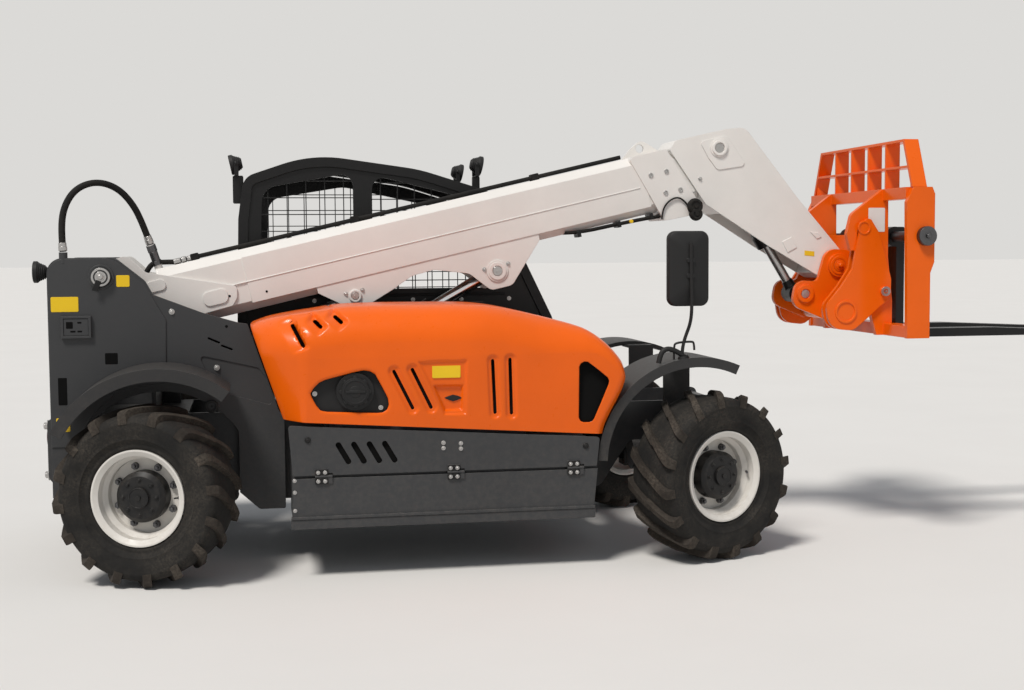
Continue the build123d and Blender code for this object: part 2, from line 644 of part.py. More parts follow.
def hood_cap():
    front = HOOD_OUTER + HOOD_SKIN
    back = HOOD_OUTER + CAP_TRAY_DEPTH
    edge = offset(outline(HOOD_WINDOW), amount=CAP_TRAY_WALL)
    tray = extrude(Pos(0, front, 0) * edge, amount=back + CAP_TRAY_WALL - front, dir=(0, 1, 0))
    tray -= side_plate(HOOD_WINDOW, front - 5, back)
    tray &= hood_form(HOOD_SKIN + SEAT_GAP)
    x, z = CAP_CENTRE
    tray += bar_y(x, z, CAP_RADIUS, HOOD_OUTER + 14, back + 4)
    tray += bar_y(x, z, CAP_GRIP, HOOD_OUTER - 2, back + 4)
    for k in range(CAP_LOBES):
        turn = 2 * pi * k / CAP_LOBES
        tray += bar_y(x + CAP_GRIP * cos(turn), z + CAP_GRIP * sin(turn), 10, HOOD_OUTER, back)
    return tray


def side_box():
    body = side_plate([(-690, 241, 10), (735, 241, 10), (760, 489, 0), (765, 600, 0), (-690, 600, 0)],
                      BOX_OUTER + DOOR_THICKNESS + 8, BOX_INNER)
    lower = side_plate([(-695, 300, 0), (742, 300, 0), (760, DOOR_SEAM - 9, 0), (-695, DOOR_SEAM - 9, 0)],
                       BOX_OUTER, BOX_OUTER + DOOR_THICKNESS + 8)
    lip = side_plate([(-700, 288, 0), (745, 288, 0), (745, 300, 0), (-700, 300, 0)],
                     BOX_OUTER - 12, BOX_OUTER + DOOR_THICKNESS + 8)
    solid = body + lower + lip
    for x in DOOR_KNUCKLES:
        low = x + DOOR_KNUCKLE_LENGTH + RUN_GAP
        high = low + DOOR_KNUCKLE_MATE
        axis_y = BOX_OUTER - DOOR_KNUCKLE_OUT
        solid += bar_x(axis_y, DOOR_SEAM, DOOR_KNUCKLE_RADIUS, low, high)
        solid += block(low, high, BOX_OUTER - 6, BOX_OUTER + 2, DOOR_SEAM - 34, DOOR_SEAM)
    return solid


def box_door():
    y_low = BOX_OUTER
    y_high = BOX_OUTER + DOOR_THICKNESS
    base = DOOR_SEAM + 4
    door = side_plate([(-692, base, 6), (756, base, 6), (771, 630, 14), (-710, 727, 14)], y_low, y_high)
    for k in range(DOOR_SLOTS):
        x = DOOR_SLOT_X + DOOR_SLOT_PITCH * k
        door -= slot_cut((x + 52, 551), (x + 6, 631), 26, y_low - 5, y_high + 5)
    for x in DOOR_KNUCKLES:
        high = x + DOOR_KNUCKLE_LENGTH
        door += bar_x(BOX_OUTER - DOOR_KNUCKLE_OUT, DOOR_SEAM, DOOR_KNUCKLE_RADIUS, x, high)
        door += block(x, high, BOX_OUTER - 6, BOX_OUTER, DOOR_SEAM, DOOR_SEAM + 34)
        door -= block(high, high + DOOR_KNUCKLE_MATE + 2, BOX_OUTER - 1, y_high + 1, base - 1, base + 10)
    return door


def left_box():
    body = side_plate([(-690, 241, 20), (735, 241, 20), (765, 600, 0), (-690, 600, 0)],
                      RAIL_Y + SEAT_GAP, 850)
    step = block(-100, 330, 700, 900, 380, 560)
    return body - step


# Boom
def boom_outer():
    tube = boom_tube(BOOM_WIDTH, BOOM_BOTTOM, BOOM_TOP, BOOM_BEVEL, BOOM_START, BOOM_END)
    tube -= boom_tube(BOOM_WIDTH - 2 * BOOM_WALL, BOOM_BOTTOM + BOOM_WALL, BOOM_TOP - BOOM_WALL,
                      BOOM_BEVEL - 3, BOOM_START + BOOM_WALL, BOOM_END + 10)
    half = BOOM_WIDTH / 2
    rear = [
        (-86, -40, 70), (-60, 66, 60), (127, 74, 40), (197, -28, 30), (607, -195, 20), (595, -250, 10),
        (564, -286, 16), (436, -290, 60), (250, BOOM_BOTTOM + 10, 40), (0, -110, 60),
    ]
    ear = [
        (988, BOOM_BOTTOM + 4, 0), (1109, -424, 40), (1217, -443, 60), (1354, -398, 60), (1470, -352, 60),
        (1587, BOOM_BOTTOM - 18, 80), (1760, -410, 60), (1850, -520, 45), (1965, -520, 45),
        (2158, BOOM_BOTTOM + 4, 0), (2158, BOOM_BOTTOM + 60, 0), (988, BOOM_BOTTOM + 60, 0),
    ]
    solid = tube
    sides = ((BOOM_Y - half - 10, BOOM_Y - half + 2), (BOOM_Y + half - 2, BOOM_Y + half + 10))
    for y_low, y_high in sides:
        solid += boom_plate(rear, y_low, y_high)
        out = -1 if y_low < BOOM_Y else 1
        for along, square, long, high in BOOM_PADS:
            pad = [(along - long, square - high, high * 0.9), (along + long, square - high, high * 0.9),
                   (along + long, square + high, high * 0.9), (along - long, square + high, high * 0.9)]
            solid += boom_plate(pad, y_low + PAD_RISE * out, y_high + PAD_RISE * out)
    inner = half - EAR_THICKNESS
    for y_low, y_high in ((BOOM_Y - half, BOOM_Y - inner), (BOOM_Y + inner, BOOM_Y + half)):
        solid += boom_plate(ear, y_low, y_high)
        out = -1 if y_low < BOOM_Y else 1
        for pin, radius in ((LIFT_PIN, LIFT_RING_RADIUS), (COMP_PIN, COMP_RING_RADIUS)):
            x, z = boom_point(*pin)
            solid += bar_y(x, z, radius, y_low + (RING_RISE * out if out < 0 else 0),
                           y_high + (RING_RISE * out if out > 0 else 0))
    for pin, radius in ((LIFT_PIN, LIFT_PIN_RADIUS), (COMP_PIN, COMP_PIN_RADIUS)):
        x, z = boom_point(*pin)
        solid += bar_y(x, z, radius, BOOM_Y - half - 8, BOOM_Y + half + 8)
    solid += bar_y(PIVOT_X, PIVOT_Z, PIVOT_BOSS_RADIUS, BOOM_Y - half - 10, BOOM_Y + half + 10)
    solid -= bar_y(PIVOT_X, PIVOT_Z, PIVOT_PIN_RADIUS + PIN_GAP, BOOM_Y - half - 20, BOOM_Y + half + 20)
    collar = [(2712, BOOM_TOP + 3, 20), (2922, BOOM_TOP + 3, 20), (3030, -321, 20), (2970, -388, 20),
              (2828, -383, 20)]
    frame = boom_plate(collar, BOOM_Y - half - 9, BOOM_Y + half + 9)
    frame -= boom_tube(BOOM_WIDTH - 2 * BOOM_WALL, BOOM_BOTTOM + BOOM_WALL, BOOM_TOP - BOOM_WALL,
                       BOOM_BEVEL - 3, BOOM_START + BOOM_WALL, BOOM_END + 400)
    solid += frame
    for low, high in ((BOOM_BOTTOM + BOOM_WALL - 1, BOOM_BOTTOM + BOOM_WALL + INNER_GAP - RUN_GAP),
                      (BOOM_TOP - BOOM_WALL - INNER_GAP + RUN_GAP, BOOM_TOP - BOOM_WALL + 1)):
        pad = [(PAD_START, low, 0), (PAD_START + PAD_LENGTH, low, 0), (PAD_START + PAD_LENGTH, high, 0),
               (PAD_START, high, 0)]
        solid += boom_plate(pad, BOOM_Y - half + 2 * BOOM_BEVEL, BOOM_Y + half - 2 * BOOM_BEVEL)
    end = HOSE_ROUTE[-1]
    before = HOSE_ROUTE[-2]
    along = (Vector(*end) - Vector(*before)).normalized()
    solid += rod(Vector(*end) + along * SEAT_GAP, Vector(*end) + along * HOSE_FITTING, 20)
    lug = boom_plate([(2712, BOOM_TOP, 0), (2764, 20, 30), (2836, 59, 40), (2922, BOOM_TOP, 0)],
                     BOOM_Y - LUG_PLATE / 2, BOOM_Y + LUG_PLATE / 2)
    x, z = boom_point(*LIFTING_EYE)
    solid += lug - bar_y(x, z, LIFTING_EYE_RADIUS, BOOM_Y - LUG_PLATE, BOOM_Y + LUG_PLATE)
    return solid


def boom_inner():
    gap = BOOM_WALL + INNER_GAP
    low = BOOM_BOTTOM + gap
    high = BOOM_TOP - gap
    width = BOOM_WIDTH - 2 * gap
    tube = boom_tube(width, low, high, BOOM_BEVEL - 8, 420, 3130)
    tube -= boom_tube(width - 2 * INNER_WALL, low + INNER_WALL, high - INNER_WALL, BOOM_BEVEL - 10, 400, 3100)
    return tube


GOOSENECK = [
    (2945, -28, 20), (2990, 12, 30), (3273, 10, 60), (3376, -3, 60), (3580, -430, 0), (3717 + 72, -818, 60),
    (3717 + 10, -915, 60), (3624, -884, 20), (3374, -652, 0), (3075, -350, 20),
]


# Stiffener round the tilt cylinder's pin
TILT_GUSSET = [
    (3115, -23, 16), (3266, -23, 40), (3333, -185, 16), (3317, -201, 16), (3176, -190, 30), (3142, -116, 40),
]
GUSSET_RISE = 4


def gooseneck():
    half = GOOSENECK_WIDTH / 2
    wall = GOOSENECK_WALL
    body = boom_plate(GOOSENECK, BOOM_Y - half, BOOM_Y + half)
    cavity = [
        (3140, -24, 0), (3362, -16, 30), (3520, -408, 0), (3640, -720, 30), (3560, -830 - 60, 0),
        (3300, -700, 0), (3140, -500, 0),
    ]
    body -= boom_plate(cavity, BOOM_Y - half + wall, BOOM_Y + half - wall)
    gap = BOOM_WALL + INNER_GAP
    tube_hole = boom_tube(BOOM_WIDTH - 2 * gap + 2 * SEAT_GAP, BOOM_BOTTOM + gap - SEAT_GAP,
                          BOOM_TOP - gap + SEAT_GAP, BOOM_BEVEL - 8, 2800, 3130 + SEAT_GAP)
    body -= tube_hole
    x, z = boom_point(*HEAD_PIN)
    body += bar_y(x, z, NOSE_RADIUS, BOOM_Y - half, BOOM_Y + half)
    body -= bar_y(x, z, HEAD_PIN_RADIUS + PIN_GAP, BOOM_Y - half - 5, BOOM_Y + half + 5)
    x, z = boom_point(*TILT_PIN)
    for y in (BOOM_Y - half - GUSSET_RISE, BOOM_Y + half - wall):
        body += boom_plate(TILT_GUSSET, y, y + wall + GUSSET_RISE)
    for y in (BOOM_Y - half - 2 * GUSSET_RISE, BOOM_Y + half - wall):
        body += bar_y(x, z, 50, y, y + wall + 2 * GUSSET_RISE)
    body += bar_y(x, z, TILT_PIN_RADIUS, BOOM_Y - half - 8, BOOM_Y + half + 8)
    return body


PIPE_RADIUS = 11


def boom_pipes():
    solids = []
    for y in (BOOM_Y - 66, BOOM_Y - 38):
        low = boom_point(330, BOOM_TOP + PIPE_RADIUS + 4)
        high = boom_point(2690, BOOM_TOP + PIPE_RADIUS + 4)
        solids.append(rod((low[0], y, low[1]), (high[0], y, high[1]), PIPE_RADIUS))
    clamps = []
    for along in (420, 1240, 2200):
        clamps.append(boom_plate([(along, BOOM_TOP + SEAT_GAP, 0), (along + 40, BOOM_TOP + SEAT_GAP, 0),
                                  (along + 40, BOOM_TOP + 34, 6), (along, BOOM_TOP + 34, 6)],
                                 BOOM_Y - 84, BOOM_Y - 20))
    solid = solids[0] + solids[1]
    for clamp in clamps:
        solid += clamp
    return solid


# Cylinders: a barrel with its foot, and a rod with its eye
def barrel(foot, eye, length, radius, foot_radius, foot_width, bore, pin_radius=0):
    """Closed at the foot, open towards the eye; foot and eye are (x, z)."""
    along = Vector(eye[0] - foot[0], 0, eye[1] - foot[1]).normalized()
    start = Vector(foot[0], BOOM_Y, foot[1])
    solid = rod(start + along * foot_radius * 0.6, start + along * length, radius)
    solid += rod(start + along * (length - 60), start + along * length, radius + 6)
    solid += bar_y(foot[0], foot[1], foot_radius, BOOM_Y - foot_width / 2, BOOM_Y + foot_width / 2)
    solid -= rod(start + along * (foot_radius + 20), start + along * (length + 10), bore)
    if pin_radius:
        solid -= bar_y(foot[0], foot[1], pin_radius + PIN_GAP, BOOM_Y - foot_width, BOOM_Y + foot_width)
    return solid


def piston_rod(foot, eye, length, radius, eye_radius, eye_width, pin_radius=0):
    along = Vector(foot[0] - eye[0], 0, foot[1] - eye[1]).normalized()
    start = Vector(eye[0], BOOM_Y, eye[1])
    solid = rod(start + along * eye_radius * 0.6, start + along * length, radius)
    solid += bar_y(eye[0], eye[1], eye_radius, BOOM_Y - eye_width / 2, BOOM_Y + eye_width / 2)
    if pin_radius:
        solid -= bar_y(eye[0], eye[1], pin_radius + PIN_GAP, BOOM_Y - eye_width, BOOM_Y + eye_width)
    return solid


# Coupler
def mirrored(y_low, y_high):
    """A band beside the boom's right side and the same band beside its left side."""
    return ((BOOM_Y - y_high, BOOM_Y - y_low), (BOOM_Y + y_low, BOOM_Y + y_high))


def coupler():
    head = boom_point(*HEAD_PIN)
    outer_plate = [
        (2274, 1656, 20), (2318, 1690, 20), (2376, 1600, 20), (2442, 1365, 30), (2440, 1262, 40),
        (2380, 1222, 30), (2310, 1160, 40), (2230, 1096, 70), (2100, 1110, 80), (2080, 1230, 70),
        (2165, 1330, 40), (2225, 1420, 30), (2250, 1550, 30),
    ]
    ear = [
        (head[0] - 70, head[1] + 90, 70), (head[0] + 80, head[1] + 80, 70), (head[0] + 130, 1300, 40),
        (2330, 1180, 40), (2180, 1140, 60), (TILT_EYE[0] - 75, TILT_EYE[1] - 60, 60),
        (TILT_EYE[0] - 50, TILT_EYE[1] + 75, 60), (2120, 1350, 30),
    ]
    solid = None
    for y_low, y_high in mirrored(COUPLER_HALF_WIDTH - COUPLER_PLATE, COUPLER_HALF_WIDTH):
        plate = side_plate(outer_plate, y_low, y_high)
        solid = plate if solid is None else solid + plate
    inner = COUPLER_HALF_WIDTH - COUPLER_INNER
    for y_low, y_high in mirrored(inner - COUPLER_PLATE, inner):
        solid += side_plate(outer_plate, y_low, y_high)
    ear_inner = GOOSENECK_WIDTH / 2 + MOVE_GAP
    for y_low, y_high in mirrored(ear_inner, ear_inner + 28):
        solid += side_plate(ear, y_low, y_high)
    for y_low, y_high in mirrored(ear_inner, ear_inner + 34):
        solid += bar_y(TILT_EYE[0], TILT_EYE[1], 50, y_low, y_high)
    pin_end = ear_inner + 46
    solid += bar_y(head[0], head[1], HEAD_PIN_RADIUS, BOOM_Y - pin_end, BOOM_Y + pin_end)
    for y_low, y_high in mirrored(ear_inner + 28, ear_inner + 40):
        solid += bar_y(head[0], head[1], 62, y_low, y_high)
    wide = COUPLER_HALF_WIDTH
    solid += bar_y(2190, 1196, 48, BOOM_Y - wide, BOOM_Y + wide)
    for y_low, y_high in mirrored(inner - COUPLER_PLATE, wide):
        solid += bar_y(2288, 1634, 26, y_low, y_high)
    solid += block(2350, 2366, BOOM_Y - inner, BOOM_Y + inner, 1240, 1600)
    for y_low, y_high in mirrored(inner - COUPLER_PLATE, wide + 14):
        solid += bar_y(2405, 1301, 26, y_low, y_high)
    return solid


def carriage():
    inner = CARRIAGE_HALF_WIDTH - SIDE_PLATE
    side = [
        (2403, 1068, 0), (2524, 1068, 0), (2524, 1400, 0), (2545, 1455, 0), (2545, 1800, 0),
        (2530, 1835, 0), (2430, 1835, 0), (2393, 1760, 0),
    ]
    solid = None
    for y_low, y_high in mirrored(inner, CARRIAGE_HALF_WIDTH):
        plate = side_plate(side, y_low, y_high)
        solid = plate if solid is None else solid + plate
    solid += block(2400, 2460, BOOM_Y - inner, BOOM_Y + inner, 1775, 1835)
    solid += block(2410, FORK_HEEL - RUN_GAP, BOOM_Y - inner, BOOM_Y + inner, 1070, 1130)
    solid -= bar_y(SHAFT_X, SHAFT_Z, SHAFT_RADIUS + SEAT_GAP, BOOM_Y - 700, BOOM_Y + 700)
    hook = [
        (2430, 1835, 0), (2400, 1835, 0), (2225, 1705, 40), (2200, 1600, 30), (2222, 1515, 0),
        (2248, 1515, 0), (2262, 1634, 0), (2314, 1634, 0), (2325, 1520, 30), (2375, 1420, 40),
        (2375, 1260, 0), (2330, 1215, 0), (2372, 1070, 0), (2458, 1070, 0), (2458, 1250, 0),
        (2432, 1480, 0),
    ]
    hook_low = COUPLER_HALF_WIDTH - COUPLER_INNER + SEAT_GAP
    hook_high = COUPLER_HALF_WIDTH - COUPLER_PLATE - SEAT_GAP
    for y_low, y_high in mirrored(hook_low, hook_high):
        plate = side_plate(hook, y_low, y_high)
        plate -= bar_y(2288, 1634, 26 + SEAT_GAP, y_low - 5, y_high + 5)
        plate -= bar_y(2405, 1301, 26 + SEAT_GAP, y_low - 5, y_high + 5)
        solid += plate
    return solid


def backrest():
    """Egg crate of flat bars on the carriage's top bar."""
    low = 1835 + SEAT_GAP
    solid = None
    # half length, lower and upper edge of each level bar
    for half, z_low, z_high in ((CARRIAGE_HALF_WIDTH - 112, BACKREST_TOP - 14, BACKREST_TOP),
                                (CARRIAGE_HALF_WIDTH - 64, 1934, 1946)):
        bar = block(*BACKREST_DEPTH, BOOM_Y - half, BOOM_Y + half, z_low, z_high)
        solid = bar if solid is None else solid + bar
    for k in range(BACKREST_BARS):
        y = BOOM_Y - BACKREST_SPREAD / 2 + BACKREST_SPREAD * k / (BACKREST_BARS - 1)
        solid += block(*BACKREST_DEPTH, y - 7, y + 7, low, BACKREST_TOP)
    for side in (-1, 1):
        foot = BOOM_Y + side * (CARRIAGE_HALF_WIDTH - 16)
        head = BOOM_Y + side * (CARRIAGE_HALF_WIDTH - 118)
        face = Plane.YZ * make_face(Polyline(
            (foot - 10, low), (foot + 10, low), (head + 10, BACKREST_TOP), (head - 10, BACKREST_TOP), close=True))
        solid += extrude(Pos(BACKREST_DEPTH[0], 0, 0) * face, amount=BACKREST_DEPTH[1] - BACKREST_DEPTH[0],
                         dir=(1, 0, 0))
    return solid


def fork_shaft():
    end = CARRIAGE_HALF_WIDTH + 28
    solid = bar_y(SHAFT_X, SHAFT_Z, SHAFT_RADIUS, BOOM_Y - end, BOOM_Y + end)
    for y_low, y_high in mirrored(CARRIAGE_HALF_WIDTH + SEAT_GAP, end):
        solid += bar_y(SHAFT_X, SHAFT_Z, SHAFT_RADIUS + 22, y_low, y_high)
    return solid


def fork(y):
    heel = FORK_HEEL
    top = SHAFT_Z + 52
    thick = FORK_THICKNESS
    corners = [
        (heel, FORK_UNDERSIDE, 40), (heel + thick + FORK_LENGTH, FORK_UNDERSIDE, 0),
        (heel + thick + FORK_LENGTH, FORK_UNDERSIDE + 14, 0), (heel + thick + 520, FORK_UNDERSIDE + thick, 0),
        (heel + thick, FORK_UNDERSIDE + thick, 12), (heel + thick, top, 10), (heel, top, 10),
    ]
    solid = side_plate(corners, y - FORK_WIDTH / 2, y + FORK_WIDTH / 2)
    solid += bar_y(SHAFT_X, SHAFT_Z, SHAFT_RADIUS + 26, y - FORK_WIDTH / 2, y + FORK_WIDTH / 2)
    solid -= bar_y(SHAFT_X, SHAFT_Z, SHAFT_RADIUS + PIN_GAP * 3, y - FORK_WIDTH, y + FORK_WIDTH)
    return solid


# Cab
CAB_ARCH = [
    (-950, CAB_FLOOR, 0), (-925, 1700, 40), (-895, 1915, 90), (-540, 2036, 700), (20, 1958, 900),
    (410, 1838, 90), (737, 1161, 120), (800, CAB_FLOOR, 0),
]


def cab_frame():
    solid = None
    for y_low in (CAB_RIGHT, CAB_LEFT - CAB_TUBE):
        arch = side_plate(CAB_ARCH, y_low, y_low + CAB_TUBE)
        hole = offset(outline(CAB_ARCH), amount=-CAB_TUBE)
        arch -= extrude(Pos(0, y_low - 5, 0) * hole, amount=CAB_TUBE + 10, dir=(0, 1, 0))
        solid = arch if solid is None else solid + arch
    inner = CAB_RIGHT + CAB_TUBE
    far = CAB_LEFT - CAB_TUBE
    # centre of each cross tube: x, z
    crosses = [(-905, 1262), (-870, 1840), (-371, 1985), (392, 1835), (-922, CAB_FLOOR + 25),
               (765, CAB_FLOOR + 25), (700, 1182)]
    under_roof = extrude(offset(outline(CAB_ARCH), amount=-CAB_SHEET - SEAT_GAP), amount=2000, dir=(0, 1, 0))
    for x, z in crosses:
        solid += block(x - 20, x + 20, inner, far, z - 20, z + 20) & under_roof
    for z in DOOR_HINGES:
        solid += block(DOOR_HINGE_X - 12, DOOR_HINGE_X + 12, CAB_LEFT - 5, DOOR_HINGE_Y + 9,
                       z - 45, z - 30 - RUN_GAP)
    return solid


def cab_panels():
    inner = CAB_RIGHT + CAB_TUBE + SEAT_GAP
    far = CAB_LEFT - CAB_TUBE - SEAT_GAP
    low = CAB_FLOOR + 45 + SEAT_GAP
    floor = block(-902 + SEAT_GAP, 745 - SEAT_GAP, inner, far, CAB_FLOOR + 6, CAB_FLOOR + 6 + CAB_SHEET)
    back = block(-929, -915, inner, far, low, 1242 - SEAT_GAP)
    nose = block(748, 762, inner, far, low, 1150)
    return Compound([floor, back, nose])


def cab_roof():
    skin = side_plate(CAB_ARCH, CAB_RIGHT + CAB_TUBE + SEAT_GAP, CAB_LEFT - CAB_TUBE - SEAT_GAP)
    hole = offset(outline(CAB_ARCH), amount=-CAB_SHEET)
    skin -= extrude(hole, amount=2000, dir=(0, 1, 0))
    return skin & block(-820, 340, 0, 1000, 1850, 2200)


# Windows of the cab's side sheet, and of the door
SIDE_WINDOWS = [
    [(-820, 1330, 60), (-800, 1860, 90), (-330, 1940, 60), (-330, 1330, 60)],
    [(-230, 1330, 60), (-230, 1930, 60), (280, 1806, 90), (490, 1330, 60)],
]
DOOR_WINDOW = [(-780, 1180, 60), (-760, 1830, 90), (-330, 1900, 200), (270, 1770, 90), (560, 1180, 60)]
DOOR_HINGES = (900, 1500)
DOOR_HINGE_X = -916
DOOR_HINGE_Y = CAB_LEFT + 12
GUARD_PITCH = 92
GUARD_BAR = 5


def cab_sheet(windows, y_low, y_high, inset):
    sheet = offset(outline(CAB_ARCH), amount=-inset)
    solid = extrude(Pos(0, y_low, 0) * sheet, amount=y_high - y_low, dir=(0, 1, 0))
    for window in windows:
        solid -= side_plate(window, y_low - 5, y_high + 5)
    return solid


def cab_side():
    return cab_sheet(SIDE_WINDOWS, CAB_RIGHT + 12, CAB_RIGHT + 12 + CAB_SHEET, CAB_TUBE + SEAT_GAP)


def cab_door():
    low = CAB_LEFT - 30
    door = cab_sheet([DOOR_WINDOW], low, CAB_LEFT - 4, CAB_TUBE + MOVE_GAP)
    for z in DOOR_HINGES:
        door += bar_z(DOOR_HINGE_X, DOOR_HINGE_Y, 9, z - 30, z + 30)
        door += block(DOOR_HINGE_X, -800, CAB_LEFT + MOVE_GAP, DOOR_HINGE_Y, z - 30, z + 30)
        door += block(-820, -800, CAB_LEFT - 10, DOOR_HINGE_Y, z - 30, z + 30)
    return door


def grid(width, height):
    """Flat welded grid of square bars, from the origin along X and Y, with its thickness along Z."""
    solid = None
    for length, across, layer in ((height, width, 0), (width, height, GUARD_BAR - 1)):
        count = round(across / GUARD_PITCH)
        for k in range(count):
            place = (k + 0.5) * across / count - GUARD_BAR / 2
            if layer:
                bar = block(0, length, place, place + GUARD_BAR, layer, layer + GUARD_BAR)
            else:
                bar = block(place, place + GUARD_BAR, 0, length, layer, layer + GUARD_BAR)
            solid = bar if solid is None else solid + bar
    return solid


def window_guard(window, y):
    """Grid cut to a window of a side plane, a seat gap inside its edge."""
    xs = [x for x, z, radius in window]
    zs = [z for x, z, radius in window]
    plane = Plane(origin=(min(xs), y, min(zs)), x_dir=(1, 0, 0), z_dir=(0, -1, 0))
    edge = offset(outline(window), amount=-SEAT_GAP)
    limit = extrude(Pos(0, y - 20, 0) * edge, amount=40, dir=(0, 1, 0))
    return plane * grid(max(xs) - min(xs), max(zs) - min(zs)) & limit


def cab_guards():
    guards = [window_guard(window, CAB_RIGHT + 24) for window in SIDE_WINDOWS]
    inner = CAB_RIGHT + CAB_TUBE + SEAT_GAP
    far = CAB_LEFT - CAB_TUBE - SEAT_GAP
    plane = Plane(origin=(-905, inner, 1282 + SEAT_GAP), x_dir=(0, 1, 0), z_dir=(1, 0, 0))
    guards.append(plane * grid(far - inner, 1820 - 1282 - 2 * SEAT_GAP))
    return Compound(guards)


def door_guard():
    return window_guard(DOOR_WINDOW, CAB_LEFT - 10)


def seat():
    floor = CAB_FLOOR + 6 + CAB_SHEET + SEAT_GAP
    middle = (CAB_RIGHT + CAB_LEFT) / 2
    wide = 245
    base = block(-560, -180, middle - 190, middle + 190, floor, floor + 260)
    cushion = side_plate([(-600, floor + 260, 0), (-90, floor + 260, 0), (-70, floor + 330, 40),
                          (-120, floor + 370, 30), (-600, floor + 350, 20)], middle - wide, middle + wide)
    back = side_plate([(-600, floor + 260, 0), (-490, floor + 350, 0), (-590, floor + 880, 50),
                       (-700, floor + 870, 50), (-690, floor + 350, 20)], middle - wide + 15, middle + wide - 15)
    return base + cushion + back


def console():
    floor = CAB_FLOOR + 6 + CAB_SHEET + SEAT_GAP
    middle = (CAB_RIGHT + CAB_LEFT) / 2
    inner = CAB_RIGHT + CAB_TUBE + 30
    far = CAB_LEFT - CAB_TUBE - 30
    dash = side_plate([(560, floor, 0), (744, floor, 0), (744, 1060, 20),
                       (640, 1130, 40), (520, 1060, 30)], middle - 200, middle + 200)
    column = rod((560, middle, 1050), (380, middle, 1240), 26)
    direction = Vector(380 - 560, 0, 1240 - 1050).normalized()
    plane = Plane(origin=(375, middle, 1245), z_dir=direction)
    wheel = plane * Torus(165, 13)
    hub_disc = plane * Cylinder(45, 24)
    solid = dash + column + hub_disc + wheel
    for k in range(3):
        spoke = plane * (Rot(0, 0, 120 * k + 90) * (Pos(90, 0, 0) * Box(165, 26, 8)))
        solid += spoke
    side = block(-560, 100, inner, inner + 75, floor, floor + 330)
    return Compound([solid, side])


# Mirror, lamps and hose
MIRROR_X = 1227
MIRROR_Y = -800


def mirror():
    foot = 1002 + SEAT_GAP
    arm = pipe([(MIRROR_X, MIRROR_Y, foot), (MIRROR_X, MIRROR_Y, 1080), (MIRROR_X - 30, MIRROR_Y, 1160),
                (MIRROR_X - 5, MIRROR_Y, 1260)], 9, [60, 60])
    base = bar_z(MIRROR_X, MIRROR_Y, 26, foot, foot + 12)
    shell = block(MIRROR_X - 95, MIRROR_X + 95, MIRROR_Y - 30, MIRROR_Y + 30, 1251, 1622)
    shell = fillet(shell.edges().filter_by(Axis.Y), 40)
    return arm + base + shell


LAMP_SIZE = 104
LAMP_DEPTH = 62


def lamp(x, y, z, ahead):
    """Round work lamp with its glass, facing forward or back."""
    back = x - ahead * LAMP_DEPTH / 2
    low, high = sorted((back, back + ahead * LAMP_DEPTH))
    body = bar_x(y, z, LAMP_SIZE / 2, low, high)
    low, high = sorted((back + ahead * LAMP_DEPTH, back + ahead * (LAMP_DEPTH + 6)))
    return body + bar_x(y, z, LAMP_SIZE / 2 - 6, low, high)


def work_lamps():
    """Two on the cab's front, one on its rear corner and one on the tower."""
    half = LAMP_SIZE / 2
    clear = extrude(offset(outline(CAB_ARCH), amount=SEAT_GAP), amount=2000, dir=(0, 1, 0))
    lamps = []
    for y in (CAB_RIGHT + half, CAB_LEFT - half):
        foot = block(310, 350, y - 10, y + 10, 1840, 1945)
        lamps.append((lamp(330, y, 1985, 1) + foot) - clear)
    y = CAB_RIGHT + half
    post = block(-950, -895, y - 10, y + 10, 1780, 1950)
    lamps.append((lamp(-930, y, 1985, -1) + post) - clear)
    tower_rear = -1820
    lamps.append(lamp(tower_rear - SEAT_GAP - LAMP_DEPTH / 2, BOOM_Y - TOWER_HALF_WIDTH + 40, 1440, -1))
    return Compound(lamps)


# Hose over the pivot, point by point from the tower to the boom: x, y, z
HOSE_ROUTE = [
    (-1743, -388, 1536), (-1750, -385, 1640), (-1736, -375, 1750), (-1682, -352, 1838),
    (-1590, -322, 1874), (-1496, -290, 1846), (-1428, -255, 1770), (-1384, -224, 1672),
    (-1352, -200, 1570),
]
HOSE_RADIUS = 16
HOSE_SHARE = 0.45
HOSE_FITTING = 132


def hose_bends():
    points = [Vector(*p) for p in HOSE_ROUTE]
    bends = []
    for before, here, after in zip(points, points[1:], points[2:]):
        turn = (here - before).get_angle(after - here)
        run = min((here - before).length, (after - here).length)
        bends.append(HOSE_SHARE * run / tan(radians(turn / 2)))
    return bends


def hose_loop():
    bends = hose_bends()
    print("hose bend radii", [round(r) for r in bends])
    return pipe(HOSE_ROUTE, HOSE_RADIUS, bends)


